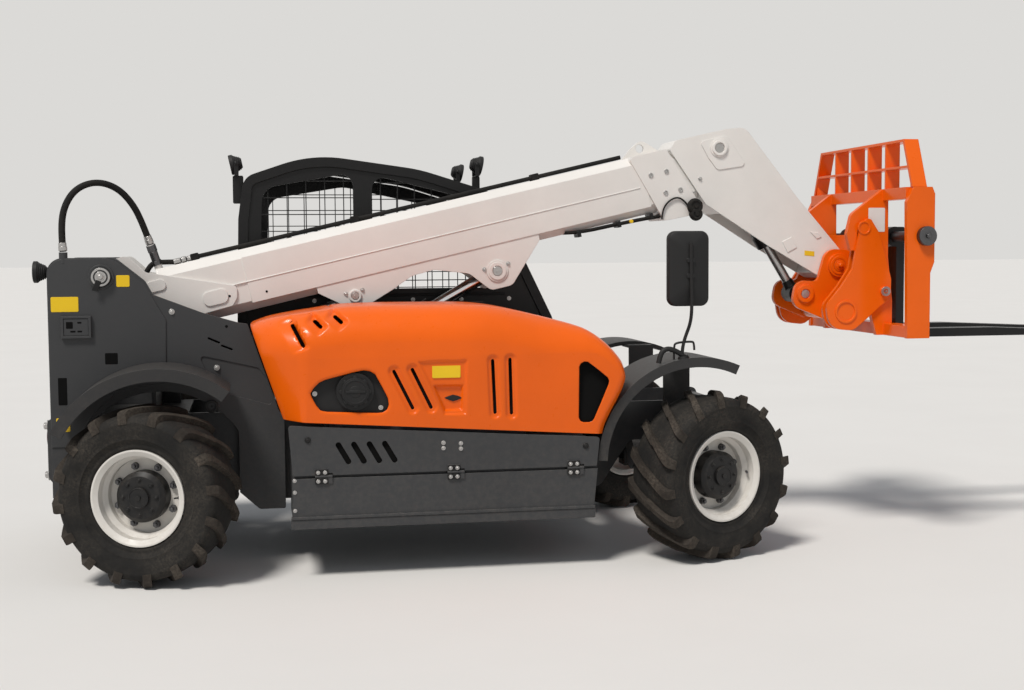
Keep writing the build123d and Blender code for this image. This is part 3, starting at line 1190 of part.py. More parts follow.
def main():
    os.makedirs("parts", exist_ok=True)
    tyre_solid, rim_solid, hub_solid, knuckle_solid = tyre(), rim(), hub(), knuckle()
    for name, x, side, heading in corner_frames():
        frame = at_kingpin(x, side, heading)
        wheel = frame * Pos(0, -KINGPIN_INSET, 0)
        save(f"tyre_{name}", wheel * tyre_solid)
        save(f"rim_{name}", wheel * rim_solid)
        save(f"hub_{name}", wheel * hub_solid)
        save(f"knuckle_{name}", frame * knuckle_solid)
    save("axle_front", axle(WHEELBASE / 2))
    save("axle_rear", axle(-WHEELBASE / 2))
    save("fenders", fenders())
    save("chassis_frame", chassis_frame())
    save("tower", tower())
    save("counterweight", counterweight())
    save("engine_block", engine_block())
    save("hood", hood())
    save("hood_cap", hood_cap())
    save("side_box", side_box())
    save("box_door", box_door())
    save("left_box", left_box())
    save("boom_outer", boom_outer())
    save("boom_inner", boom_inner())
    save("gooseneck", gooseneck())
    save("boom_pipes", boom_pipes())
    lift, comp = boom_point(*LIFT_PIN), boom_point(*COMP_PIN)
    tilt = boom_point(*TILT_PIN)
    save("lift_barrel", barrel(LIFT_FOOT, lift, 1230, 55, 58, 100, 33))
    save("lift_rod", piston_rod(LIFT_FOOT, lift, 1230, 32, 48, 100, LIFT_PIN_RADIUS))
    save("comp_barrel", barrel(COMP_FOOT, comp, 690, 38, 40, 84, 21))
    save("comp_rod", piston_rod(COMP_FOOT, comp, 690, 20, 36, 84, COMP_PIN_RADIUS))
    save("tilt_barrel", barrel(tilt, TILT_EYE, 600, 46, 48, 180, 25, TILT_PIN_RADIUS))
    save("tilt_rod", piston_rod(tilt, TILT_EYE, 560, 24.5, 48, 120))
    save("coupler", coupler())
    save("carriage", carriage())
    save("backrest", backrest())
    save("fork_shaft", fork_shaft())
    save("fork_right", fork(BOOM_Y - FORK_SPREAD))
    save("fork_left", fork(BOOM_Y + FORK_SPREAD))
    save("cab_frame", cab_frame())
    save("cab_panels", cab_panels())
    save("cab_roof", cab_roof())
    save("cab_side", cab_side())
    save("cab_door", cab_door())
    save("cab_guards", cab_guards())
    save("door_guard", door_guard())
    save("seat", seat())
    save("console", console())
    save("mirror", mirror())
    save("work_lamps", work_lamps())
    save("hose_loop", hose_loop())


main()
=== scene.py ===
from math import cos, exp, hypot, pi, radians, sin, sqrt

import bmesh
import bpy
import numpy as np
from mathutils import Matrix, Vector


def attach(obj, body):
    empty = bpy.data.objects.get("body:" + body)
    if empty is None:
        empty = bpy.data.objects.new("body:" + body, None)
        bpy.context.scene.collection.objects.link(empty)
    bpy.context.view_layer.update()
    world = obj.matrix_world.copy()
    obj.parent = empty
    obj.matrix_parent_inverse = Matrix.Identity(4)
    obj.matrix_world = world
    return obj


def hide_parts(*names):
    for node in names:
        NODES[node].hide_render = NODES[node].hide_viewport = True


# Looks of a compact rough-terrain telescopic handler, in metres.
# Places are written in the layout of the part's source, whose origin lies under the middle of the
# wheelbase, and ORIGIN_X moves them into the frame. "Right" and "left" are the machine's own sides.
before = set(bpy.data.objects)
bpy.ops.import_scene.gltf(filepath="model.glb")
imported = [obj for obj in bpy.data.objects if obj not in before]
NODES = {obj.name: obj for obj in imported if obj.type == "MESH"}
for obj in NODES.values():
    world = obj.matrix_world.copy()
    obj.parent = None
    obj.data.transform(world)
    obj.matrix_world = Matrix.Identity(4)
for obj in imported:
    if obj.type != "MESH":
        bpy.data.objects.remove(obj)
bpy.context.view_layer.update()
ORIGIN_X = 0.925

# Sizes that repeat the source's
WHEELBASE = 2.62
TRACK = 1.5
KINGPIN_INSET = 0.13
FRONT_HEADING = 22
REAR_HEADING = -19
TYRE_RADIUS = 0.4155
PIVOT = (-1.570, 1.414)
BOOM_Y = -0.105
BOOM_ANGLE = 13
BOOM_SIDE = 0.135
COLLAR_SIDE = 0.144
GOOSENECK_SIDE = 0.125
HOOD_OUTER = -0.880
BOX_OUTER = -0.850
TOWER_OUTER = -0.400
TOWER_PLATE = 0.025
CORNERS = {
    "front_right": (1, -1, FRONT_HEADING),
    "front_left": (1, 1, FRONT_HEADING),
    "rear_right": (-1, -1, REAR_HEADING),
    "rear_left": (-1, 1, REAR_HEADING),
}

# Pins, along and square to the boom
LIFT_PIN = (1.904, -0.431)
COMP_PIN = (1.165, -0.383)
TILT_PIN = (3.212, -0.079)
# Pins of the coupler, as (x, z)
TILT_EYE = (2.050, 1.285)
HEAD_PIN = (2.240, 1.437)

# Directions
AHEAD = (1, 0, 0)
REAR = (-1, 0, 0)
RIGHT = (0, -1, 0)
LEFT = (0, 1, 0)
UP = (0, 0, 1)


def at(x, y, z):
    """Place in the frame from a place in the source's layout."""
    return Vector((x - ORIGIN_X, y, z))


def boom_point(along, square):
    """(x, z) in the layout from the distances along and square to the boom, from its pivot."""
    turn = radians(BOOM_ANGLE)
    return (PIVOT[0] + along * cos(turn) - square * sin(turn),
            PIVOT[1] + along * sin(turn) + square * cos(turn))


def on_boom(along, square, y):
    x, z = boom_point(along, square)
    return at(x, y, z)


def boom_outline(points):
    return [boom_point(*point) for point in points]


def add(name, data):
    """New object in the scene."""
    thing = bpy.data.objects.new(name, data)
    bpy.context.scene.collection.objects.link(thing)
    return thing


class Surface:
    """A material's nodes, added step by step."""

    def __init__(self, name):
        self.material = bpy.data.materials.new(name)
        self.material.use_nodes = True
        self.nodes = self.material.node_tree.nodes
        self.links = self.material.node_tree.links
        self.shader = self.nodes["Principled BSDF"]
        self.coords = self.node("TexCoord").outputs["Object"]

    def node(self, kind, inputs=None):
        made = self.nodes.new("ShaderNode" + kind)
        self.put(made, inputs or {})
        return made

    def put(self, node, inputs):
        """Links another node's output to an input, or sets a number or colour on it."""
        for key, value in inputs.items():
            if isinstance(value, bpy.types.NodeSocket):
                self.links.new(value, node.inputs[key])
            else:
                node.inputs[key].default_value = (*value, 1) if isinstance(value, tuple) else value

    def noise(self, scale, detail, rough):
        inputs = {"Scale": scale, "Detail": detail, "Roughness": rough, "Vector": self.coords}
        return self.node("TexNoise", inputs).outputs["Fac"]

    def spread(self, value, low, high, out_low=0.0, out_high=1.0):
        inputs = {"From Min": low, "From Max": high, "To Min": out_low, "To Max": out_high, "Value": value}
        return self.node("MapRange", inputs).outputs["Result"]

    def times(self, first, second):
        made = self.node("Math", {0: first, 1: second})
        made.operation = "MULTIPLY"
        return made.outputs["Value"]

    def mix(self, factor, first, second):
        made = self.node("Mix")
        made.data_type = "RGBA"
        self.put(made, {"Factor": factor, 6: first, 7: second})
        return made.outputs[2]

    def bump(self, height, strength, distance):
        made = self.node("Bump", {"Strength": strength, "Distance": distance, "Height": height})
        self.put(self.shader, {"Normal": made.outputs["Normal"]})
        return made


DUST = (0.40, 0.34, 0.27)
EDGE_RADIUS = 0.004


def weathered(name, colour, roughness, dust, grain=220, coat=0.0, relief=0.0004, specular=0.3, wear_and_highlight=0.0):
    """Painted or moulded surface with faint mottling, dust on top and low down, softened edges that are
    painted paler, partly as worn paint and partly as a painted highlight, and fine grain."""
    s = Surface(name)
    height = s.node("SeparateXYZ", {"Vector": s.coords}).outputs["Z"]
    normal = s.node("NewGeometry").outputs["Normal"]
    slope = s.node("SeparateXYZ", {"Vector": normal}).outputs["Z"]
    broad = s.noise(2.1, 6.0, 0.6)
    speck = s.noise(38, 8.0, 0.7)
    fine = s.noise(grain, 2.0, 0.5)
    darker = tuple(channel * 0.90 for channel in colour)
    base = s.mix(s.spread(broad, 0.35, 0.7), colour, darker)
    edge = s.node("Bevel", {"Radius": EDGE_RADIUS})
    edge.samples = 4
    # Edges painted paler in patches: partly worn paint, partly a painted highlight where edges catch the
    # light.
    if wear_and_highlight:
        bend = s.node("VectorMath", {0: edge.outputs["Normal"], 1: normal})
        bend.operation = "DOT_PRODUCT"
        rubbed_and_highlight = s.times(s.spread(bend.outputs["Value"], 0.985, 0.93), s.spread(speck, 0.45, 0.6))
        paler = tuple(min(channel * 1.35 + 0.05, 0.85) for channel in colour)
        base = s.mix(s.times(rubbed_and_highlight, wear_and_highlight), base, paler)
    low = s.spread(height, 0.95, 0.05, 0.12, 1.0)
    up = s.spread(slope, 0.2, 1.0, 0.25, 1.0)
    settled = s.times(s.times(low, up), s.spread(speck, 0.42, 0.72))
    s.put(s.shader, {
        "Base Color": s.mix(s.times(settled, dust), base, DUST),
        "Roughness": s.spread(speck, 0.3, 0.75, roughness - 0.05, roughness + 0.12),
        "Specular IOR Level": specular,
        "Coat Weight": coat,
        "Coat Roughness": 0.12,
    })
    s.put(s.bump(fine, 0.25, relief), {"Normal": edge.outputs["Normal"]})
    return s.material


def rubber(name, colour, dust):
    """Rubber or cloth, paler where dust has settled in, with a coarse grain."""
    s = Surface(name)
    broad = s.noise(5, 6.0, 0.65)
    fine = s.noise(90, 6.0, 0.7)
    settled = s.times(s.spread(broad, 0.38, 0.72), s.spread(fine, 0.35, 0.7))
    s.put(s.shader, {
        "Base Color": s.mix(s.times(settled, dust), colour, DUST),
        "Roughness": s.spread(fine, 0.3, 0.7, 0.72, 0.95),
        "Specular IOR Level": 0.25,
    })
    s.bump(fine, 0.5, 0.0015)
    return s.material


def bright_metal(name, colour, roughness):
    """Bare or plated steel with faint marks."""
    s = Surface(name)
    marks = s.noise(160, 3.0, 0.6)
    darker = tuple(channel * 0.8 for channel in colour)
    s.put(s.shader, {
        "Base Color": s.mix(s.spread(marks, 0.3, 0.7), colour, darker),
        "Roughness": s.spread(marks, 0.3, 0.7, roughness, roughness + 0.12),
        "Metallic": 1.0,
    })
    s.bump(marks, 0.1, 0.0002)
    return s.material


MATERIALS = {
    "orange": weathered("orange_paint", (0.86, 0.125, 0.0015), 0.30, 0.07, coat=0.2, specular=0.2, wear_and_highlight=0.35),
    "white": weathered("white_paint", (0.80, 0.77, 0.73), 0.34, 0.16, coat=0.2, wear_and_highlight=0.2),
    "grey": weathered("grey_paint", (0.046, 0.047, 0.049), 0.42, 0.30, wear_and_highlight=0.5),
    "black": weathered("black_paint", (0.006, 0.006, 0.0065), 0.36, 0.18, wear_and_highlight=0.4),
    "rim": weathered("rim_paint", (0.72, 0.69, 0.64), 0.40, 0.65, coat=0.1, wear_and_highlight=0.2),
    "hub": weathered("hub_paint", (0.009, 0.009, 0.0095), 0.40, 0.20, wear_and_highlight=0.4),
    "plastic": weathered("black_plastic", (0.011, 0.011, 0.0115), 0.55, 0.20, grain=420, relief=0.0008),
    "fender": weathered("fender_plastic", (0.030, 0.0295, 0.030), 0.50, 0.62, grain=420, relief=0.0008),
    "tread": rubber("tread_rubber", (0.023, 0.0185, 0.0150), 0.30),
    "cloth": rubber("seat_cloth", (0.018, 0.018, 0.020), 0.06),
    "glass": weathered("lamp_glass", (0.30, 0.32, 0.34), 0.08, 0.05, coat=0.8),
    "mirror": bright_metal("mirror_glass", (0.62, 0.64, 0.66), 0.03),
    "dark_steel": bright_metal("dark_steel", (0.13, 0.13, 0.135), 0.36),
    "iron": weathered("engine_iron", (0.08, 0.08, 0.085), 0.7, 0.3, grain=120, relief=0.001),
    "tyre": rubber("tyre_rubber", (0.011, 0.0105, 0.0100), 0.16),
    "hose": rubber("hose_rubber", (0.007, 0.007, 0.007), 0.08),
    "chrome": bright_metal("chrome_rod", (0.82, 0.82, 0.83), 0.10),
    "steel": bright_metal("shaft_steel", (0.50, 0.49, 0.48), 0.28),
    "yellow": weathered("yellow_plate", (0.86, 0.56, 0.012), 0.35, 0.10, coat=0.1),
    "label": weathered("pale_plate", (0.78, 0.77, 0.74), 0.35, 0.1, coat=0.1),
    "red": weathered("red_lens", (0.45, 0.012, 0.01), 0.15, 0.1, coat=0.5),
    # dark: painted shade, a near-black laid in holes, cut-outs and behind openings where only shade shows.
    "dark": weathered("painted_shade_dark", (0.004, 0.004, 0.004), 0.8, 0.05, specular=0.1),
}

# CAD nodes of each material
FINISHES = {
    "orange": ["hood", "coupler", "carriage", "backrest"],
    "white": ["boom_outer", "boom_inner", "gooseneck"],
    "grey": ["chassis_frame", "tower", "side_box", "box_door", "left_box", "counterweight"],
    "black": ["cab_frame", "cab_panels", "cab_roof", "cab_side", "cab_guards", "cab_door", "door_guard",
              "fork_right", "fork_left", "axle_front", "axle_rear", "lift_barrel", "comp_barrel",
              "tilt_barrel"] + ["knuckle_" + corner for corner in CORNERS],
    "rim": ["rim_" + corner for corner in CORNERS],
    "hub": ["hub_" + corner for corner in CORNERS],
    "plastic": ["hood_cap", "console", "mirror", "work_lamps", "seat"],
    "fender": ["fenders"],
    "iron": ["engine_block"],
    "tyre": ["tyre_" + corner for corner in CORNERS],
    "hose": ["hose_loop", "boom_pipes"],
    "chrome": ["lift_rod", "comp_rod"],
    "steel": ["tilt_rod"],
    "dark_steel": ["fork_shaft"],
}


def finish_cad():
    for key, names in FINISHES.items():
        for name in names:
            for slot in NODES[name].material_slots:
                slot.material = MATERIALS[key]


# Mesh helpers. Every detail is drawn in a bmesh, its draft, and then handed to piece().
BEVEL_FROM = 32
SHARP_FROM = 38
TORUS_SIDES = 40
TORUS_STEPS = 12


def piece(name, draft, key, body, bevel=0.0, replaces=None):
    """Makes the draft an object with its material and edges, which rides on the body."""
    mesh = bpy.data.meshes.new(name)
    bmesh.ops.remove_doubles(draft, verts=draft.verts, dist=1e-6)
    bmesh.ops.recalc_face_normals(draft, faces=draft.faces)
    draft.to_mesh(mesh)
    draft.free()
    mesh.materials.append(MATERIALS[key])
    thing = add(name, mesh)
    if bevel:
        edges = thing.modifiers.new("edges", "BEVEL")
        edges.width = bevel
        edges.segments = 2
        edges.limit_method = "ANGLE"
        edges.angle_limit = radians(BEVEL_FROM)
    for face in mesh.polygons:
        face.use_smooth = True
    mesh.set_sharp_from_angle(angle=radians(SHARP_FROM))
    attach(thing, body)
    if replaces:
        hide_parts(replaces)
    return thing


def drafts(count):
    return [bmesh.new() for _ in range(count)]


def facing(point, normal):
    """Frame at a point whose Z axis looks along the normal."""
    return Matrix.Translation(point) @ Vector(normal).to_track_quat("Z", "Y").to_matrix().to_4x4()


def between(low, high):
    """Frame at the low point whose Z axis looks at the high one, and the distance between them."""
    return facing(low, high - low), (high - low).length


def beside(place, radius, degrees, height):
    """Frame at a distance from the place's Z axis and a height along it."""
    turn = radians(degrees)
    return place @ Matrix.Translation((radius * cos(turn), radius * sin(turn), height))


def loft(draft, loops, wrap=False):
    """Skin over closed loops of points, with a cap at each end or joined up where it wraps."""
    rows = [[draft.verts.new(point) for point in loop] for loop in loops]
    after = rows[1:] + rows[:1] if wrap else rows[1:]
    if not wrap:
        draft.faces.new(rows[0])
        draft.faces.new(rows[-1][::-1])
    for here, there in zip(rows, after):
        for k in range(len(here)):
            n = (k + 1) % len(here)
            draft.faces.new((here[k], here[n], there[n], there[k]))


def lathe(draft, place, profile, sides):
    """Closed profile of (radius, height along Z) turned round the place's Z axis."""
    turns = [2 * pi * k / sides for k in range(sides)]
    loft(draft, [[place @ Vector((r * cos(turn), r * sin(turn), h)) for r, h in profile] for turn in turns],
         wrap=True)


def disc(draft, place, radius, low, high, sides=32, top=None):
    """Round or many-sided block along Z of the place, narrower at its top where that is given."""
    middle = place @ Matrix.Translation((0, 0, (low + high) / 2))
    bmesh.ops.create_cone(draft, cap_ends=True, segments=sides, radius1=radius,
                          radius2=radius if top is None else top, depth=high - low, matrix=middle)


def bolt(draft, place, across):
    """Hexagon head on its washer."""
    radius = across / sqrt(3)
    disc(draft, place, across * 0.95, 0, across * 0.14, 20)
    disc(draft, place, radius, across * 0.14, across * 0.62, 6)
    disc(draft, place, radius * 0.86, across * 0.62, across * 0.72, 6, radius * 0.7)


def bolts(draft, points, out, across):
    for point in points:
        bolt(draft, facing(at(*point), out), across)


def ring(draft, place, outer, inner, low, high, sides=48):
    lathe(draft, place, [(outer, low), (outer, high), (inner, high), (inner, low)], sides)


def torus(draft, place, major, minor):
    turns = [2 * pi * k / TORUS_STEPS for k in range(TORUS_STEPS)]
    lathe(draft, place, [(major + minor * cos(turn), minor * sin(turn)) for turn in turns], TORUS_SIDES)


def prism(draft, points, y_low, y_high):
    """Flat plate between two Y values; its outline is in (x, z) of the layout."""
    loft(draft, [[at(x, y, z) for x, z in points] for y in (y_low, y_high)])


def rounded(x_low, x_high, z_low, z_high, radius, steps=4):
    """Outline of a rectangle with round corners, in (x, z)."""
    points = []
    corners = ((x_high - radius, z_high - radius, 0), (x_low + radius, z_high - radius, 90),
               (x_low + radius, z_low + radius, 180), (x_high - radius, z_low + radius, 270))
    for x, z, start in corners:
        for k in range(steps + 1):
            turn = radians(start + 90 * k / steps)
            points.append((x + radius * cos(turn), z + radius * sin(turn)))
    return points


def plates(draft, boxes, radius, y_low, y_high):
    """Plates with round corners; each box is x_low, x_high, z_low, z_high."""
    for box in boxes:
        prism(draft, rounded(*box, radius), y_low, y_high)


def slab(name, points, y_low, y_high, key, body, bevel=0.0):
    """A piece that is one flat plate."""
    draft = bmesh.new()
    prism(draft, points, y_low, y_high)
    piece(name, draft, key, body, bevel)


def boom_faces(half):
    """Both sides of the boom: distance of the face across the machine, and its outward direction."""
    return (BOOM_Y - half, RIGHT), (BOOM_Y + half, LEFT)


def tube(name, route, radius, key, body, replaces=None):
    """Pipe or wire through the points of the route, as a smooth curve."""
    data = bpy.data.curves.new(name, "CURVE")
    data.dimensions = "3D"
    data.bevel_depth = radius
    data.bevel_resolution = 4
    data.resolution_u = 8
    data.use_fill_caps = True
    spline = data.splines.new("NURBS")
    spline.points.add(len(route) - 1)
    for point, place in zip(spline.points, route):
        point.co = (*place, 1)
    spline.order_u = 3
    spline.use_endpoint_u = True
    data.materials.append(MATERIALS[key])
    thing = add(name, data)
    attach(thing, body)
    if replaces:
        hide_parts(replaces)
    return thing


def path(*points):
    return [at(*point) for point in points]


def boom_route(y, *points):
    return [on_boom(along, square, y) for along, square in points]


# Wheels
LUG_COUNT = 16
CARCASS_SIDES = 112
# half profile of the carcass: radius, distance from the middle plane
CARCASS = [
    (0.2242, 0.104), (0.2262, 0.113), (0.232, 0.119), (0.24, 0.122), (0.247, 0.1205), (0.252, 0.1215),
    (0.262, 0.1285), (0.2715, 0.1345), (0.2735, 0.1372), (0.2765, 0.1378), (0.279, 0.1372), (0.292, 0.1415),
    (0.31, 0.1455), (0.326, 0.1472), (0.342, 0.1468), (0.346, 0.148), (0.35, 0.1468), (0.362, 0.143),
    (0.373, 0.134), (0.3805, 0.118), (0.3845, 0.095), (0.3868, 0.06), (0.3876, 0),
]
# lug from its inner end to the foot of its shoulder: distance across, run round the tread, half width,
# radius of its top, radius of its foot
LUG = [
    (-0.012, -0.052, 0.0135, 0.4108, 0.38), (-0.004, -0.047, 0.0165, 0.4134, 0.38),
    (0.03, -0.024, 0.017, 0.4138, 0.38), (0.07, 0.004, 0.018, 0.413, 0.378),
    (0.105, 0.029, 0.0195, 0.4108, 0.374), (0.132, 0.047, 0.0205, 0.4073, 0.366),
    (0.144, 0.055, 0.021, 0.4, 0.356), (0.1492, 0.059, 0.0215, 0.386, 0.346),
    (0.15, 0.061, 0.0215, 0.362, 0.344),
]
LUG_FLARE = 0.004


def wheel_place(corner):
    """Frame of the wheel, whose Z axis points out along its axle."""
    front, side, heading = CORNERS[corner]
    turn = heading if side < 0 else heading + 180
    kingpin = Matrix.Translation(at(front * WHEELBASE / 2, side * (TRACK / 2 - KINGPIN_INSET), TYRE_RADIUS))
    wheel = kingpin @ Matrix.Rotation(radians(turn), 4, "Z") @ Matrix.Translation((0, -KINGPIN_INSET, 0))
    return wheel @ Matrix.Rotation(radians(90), 4, "X")


def lug(draft, place, turn, side):
    loops = []
    for across, run, half, top, foot in LUG:
        loop = []
        for radius, reach in ((foot, half + LUG_FLARE), (top, half), (top, -half), (foot, -half - LUG_FLARE)):
            angle = turn + side * (run + reach) / TYRE_RADIUS
            loop.append(place @ Vector((radius * cos(angle), radius * sin(angle), side * across)))
        loops.append(loop)
    loft(draft, loops)


def tyres():
    for corner in CORNERS:
        place, body, node = wheel_place(corner), "wheel_" + corner, "tyre_" + corner
        carcass = bmesh.new()
        lathe(carcass, place, CARCASS + [(r, -w) for r, w in reversed(CARCASS[:-1])], CARCASS_SIDES)
        piece("tyre_skin_" + corner, carcass, "tyre", body, replaces=node)
        bars = bmesh.new()
        for k in range(LUG_COUNT):
            lug(bars, place, 2 * pi * k / LUG_COUNT, 1)
            lug(bars, place, 2 * pi * (k + 0.5) / LUG_COUNT, -1)
        piece("tyre_lugs_" + corner, bars, "tread", body, 0.0035, node)


def wheel_details():
    for corner in CORNERS:
        place, body = wheel_place(corner), "wheel_" + corner
        nuts, caps, valve = drafts(3)
        for k in range(8):
            spot = beside(place, 0.143, 45 * k + 20, 0.0122)
            disc(nuts, spot, 0.017, 0, 0.004, 24)
            disc(nuts, spot, 0.0165, 0.004, 0.02, 6)
            disc(nuts, spot, 0.009, 0.02, 0.031, 16, 0.008)
            bolt(caps, beside(place, 0.08, 45 * k, 0.0938), 0.013)
        piece("wheel_nuts_" + corner, nuts, "dark_steel", body, 0.0008)
        ring(caps, place, 0.0475, 0.043, 0.095, 0.11)
        disc(caps, place, 0.012, 0.107, 0.114, 6)
        piece("hub_bolts_" + corner, caps, "hub", body, 0.0006)
        spot = beside(place, 0.186, 0, 0.064) @ Matrix.Rotation(radians(-35), 4, "Y")
        disc(valve, spot, 0.0065, -0.014, 0.014, 16)
        disc(valve, spot, 0.004, 0.014, 0.036, 12)
        piece("valve_" + corner, valve, "dark_steel", body)


# Hose over the pivot: the points of the source's route
HOSE_ROUTE = [
    (-1.743, -0.388, 1.536), (-1.75, -0.385, 1.64), (-1.736, -0.375, 1.75), (-1.682, -0.352, 1.838),
    (-1.59, -0.322, 1.874), (-1.496, -0.29, 1.846), (-1.428, -0.255, 1.77), (-1.384, -0.224, 1.672),
    (-1.352, -0.2, 1.57)]
HOSE_RADIUS = 0.016
FERRULE_BORE = HOSE_RADIUS + 0.0003
POST_BORE = 0.0198


def curve_length(thing):
    """Length of a tube's centreline, read from a copy without its thickness."""
    bare = thing.data.copy()
    bare.bevel_depth = 0
    probe = bpy.data.objects.new("probe", bare)
    line = bpy.data.meshes.new_from_object(probe)
    spots = [vertex.co.copy() for vertex in line.vertices]
    bpy.data.meshes.remove(line)
    bpy.data.objects.remove(probe)
    bpy.data.curves.remove(bare)
    return sum((b - a).length for a, b in zip(spots, spots[1:]))


def hose():
    route = path(*HOSE_ROUTE)
    thing = tube("pivot_hose", route, HOSE_RADIUS, "hose", "chassis", "hose_loop")
    length = curve_length(thing)
    ends = bmesh.new()
    for start, ahead, reach in ((0, 1, 0.07), (-1, -2, 0.075)):
        place = facing(route[start], (route[ahead] - route[start]).normalized())
        ring(ends, place, 0.0205, FERRULE_BORE, 0.004, reach * 0.35)
        ring(ends, place, 0.019, FERRULE_BORE, reach * 0.35, reach * 0.6)
    piece("hose_ferrules", ends, "steel", "chassis", 0.001)
    post = bmesh.new()
    place = facing(route[-1], (route[-1] - route[-2]).normalized())
    ring(post, place, 0.0235, POST_BORE, 0.004, 0.04, 6)
    ring(post, place, 0.0212, POST_BORE, 0.04, 0.086)
    ring(post, place, 0.0245, POST_BORE, 0.086, 0.108, 6)
    piece("hose_post", post, "dark_steel", "boom_outer", 0.0008)


# Operator's seat, which stands for the source's plain one
SEAT_FLOOR = 0.7606
SEAT_MIDDLE = 0.471
BELLOWS_FOLDS = 9
SEAM = 0.42
PULL_IN = 0.035


def cushion(name, place, length, width, thick, channels):
    """Crowned pad whose sides pull in between its corners, with sewn channels across its upper face.
    The place is the middle of its lower face, with X along its length and Z up through it."""
    pad = bmesh.new()
    bmesh.ops.create_grid(pad, x_segments=40, y_segments=32, size=1)
    upper = list(pad.verts)
    turned = bmesh.ops.duplicate(pad, geom=pad.verts[:] + pad.edges[:] + pad.faces[:])["geom"]
    lower = [thing for thing in turned if isinstance(thing, bmesh.types.BMVert)]
    for verts, top in ((upper, True), (lower, False)):
        for vert in verts:
            u, v = vert.co.x, vert.co.y
            rise = ((1 - abs(u) ** 6) * (1 - abs(v) ** 6)) ** 0.42
            z = thick * SEAM * (1 - rise)
            if top:
                crown = 0.80 + 0.20 * (1 - u * u) * (1 - v * v)
                dent = sum(exp(-((u - channel) / 0.035) ** 2) for channel in channels)
                z = thick * (SEAM + (1 - SEAM) * rise * crown - 0.10 * min(dent, 1) * rise)
            vert.co = place @ Vector((u * length / 2 * (1 - PULL_IN * (1 - v * v)),
                                      v * width / 2 * (1 - PULL_IN * (1 - u * u)), z))
    thing = piece(name, pad, "cloth", "chassis")
    smoother = thing.modifiers.new("smooth", "SUBSURF")
    smoother.levels = 1
    smoother.render_levels = 1
    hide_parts("seat")


def seat_place(x, height, degrees):
    """Frame in the seat's middle plane at a height over the cab's floor, turned about the machine's width."""
    place = Matrix.Translation(at(x, SEAT_MIDDLE, SEAT_FLOOR + height))
    return place @ Matrix.Rotation(radians(degrees), 4, "Y")


def seat():
    cushion("seat_cushion", seat_place(-0.335, 0.262, -3), 0.50, 0.48, 0.1, (-0.45, 0.0, 0.45))
    back = seat_place(-0.652, 0.6, -10.5) @ Matrix.Rotation(radians(90), 4, "Y")
    cushion("seat_back", back, 0.50, 0.45, 0.095, (-0.5, -0.1, 0.3))
    bellows, frame_parts = drafts(2)
    loops = []
    for k in range(BELLOWS_FOLDS * 2 + 1):
        half = 0.17 - (0.012 if k % 2 else 0)
        z = SEAT_FLOOR + 0.04 + k * 0.195 / (BELLOWS_FOLDS * 2)
        outline = rounded(-half, half, -half, half, 0.03)
        loops.append(path(*((p - 0.37, SEAT_MIDDLE + q, z) for p, q in outline)))
    loft(bellows, loops)
    piece("seat_bellows", bellows, "plastic", "chassis", replaces="seat")
    for low, high, half in ((0.0, 0.04, 0.188), (0.235, 0.261, 0.20)):
        prism(frame_parts, rounded(-0.558, -0.182, SEAT_FLOOR + low, SEAT_FLOOR + high, 0.008),
              SEAT_MIDDLE - half, SEAT_MIDDLE + half)
    rest = [(-0.6, 1.03), (-0.575, 1.05), (-0.66, 1.56), (-0.69, 1.565), (-0.64, 1.06)]
    prism(frame_parts, rest, SEAT_MIDDLE - 0.17, SEAT_MIDDLE + 0.17)
    piece("seat_frame", frame_parts, "plastic", "chassis", 0.004, "seat")


def cab_details():
    plate = rounded(0.4, 0.56, 1.06, 1.11, 0.018)
    slab("door_handle_plate", plate, 0.8755, 0.8825, "plastic", "cab_door", 0.002)
    grip = path((0.425, 0.88, 1.085), (0.425, 0.905, 1.085), (0.44, 0.912, 1.085), (0.52, 0.912, 1.085),
                 (0.535, 0.905, 1.085), (0.535, 0.88, 1.085))
    tube("door_handle", grip, 0.008, "plastic", "cab_door")
    trim, heads = drafts(2)
    plates(trim, ((-0.78, -0.33, 1.288, 1.304), (-0.23, 0.48, 1.288, 1.304)), 0.006, 0.0715, 0.0745)
    piece("window_trim", trim, "plastic", "chassis", 0.001)
    bolts(heads, [(-0.8 + 0.26 * k, 0.074, z) for k in range(6) for z in (0.8, 1.27)], RIGHT, 0.012)
    piece("cab_sheet_bolts", heads, "steel", "chassis")


def left_details():
    """Step, filler cap and straps of the left box, and the counterweight's bolts."""
    tread, cap, straps, rear = drafts(4)
    prism(tread, rounded(-0.092, 0.322, 0.3795, 0.3855, 0.002), 0.702, 0.846)
    for k in range(9):
        for j in range(3):
            place = facing(at(-0.06 + 0.044 * k, 0.735 + 0.038 * j, 0.385), UP)
            ring(tread, place, 0.011, 0.007, 0, 0.004, 16)
    piece("step_tread", tread, "steel", "chassis")
    place = facing(at(-0.52, 0.8495, 0.49), LEFT)
    disc(cap, place, 0.047, 0, 0.004, 48)
    disc(cap, place, 0.04, 0.004, 0.024, 12, 0.037)
    piece("filler_cap", cap, "plastic", "chassis", 0.002)
    plates(straps, ((-0.66, -0.13, 0.555, 0.575), (0.36, 0.73, 0.555, 0.575)), 0.004, 0.8495, 0.8525)
    bolts(straps, [(x, 0.8525, 0.565) for x in (-0.6, -0.2, 0.42, 0.68)], LEFT, 0.01)
    piece("left_box_straps", straps, "grey", "chassis", 0.0008)
    bolts(rear, [(-1.8495, y, z) for y in (-0.27, 0.27) for z in (0.45, 0.69)], REAR, 0.03)
    piece("counterweight_bolts", rear, "steel", "chassis", 0.0008)


BOOM_SKIN = 0.004
BOOM_SEAM = -0.1865
LINE_SQUARE = -0.008
LINES_Y = (BOOM_Y - 0.066, BOOM_Y - 0.038)


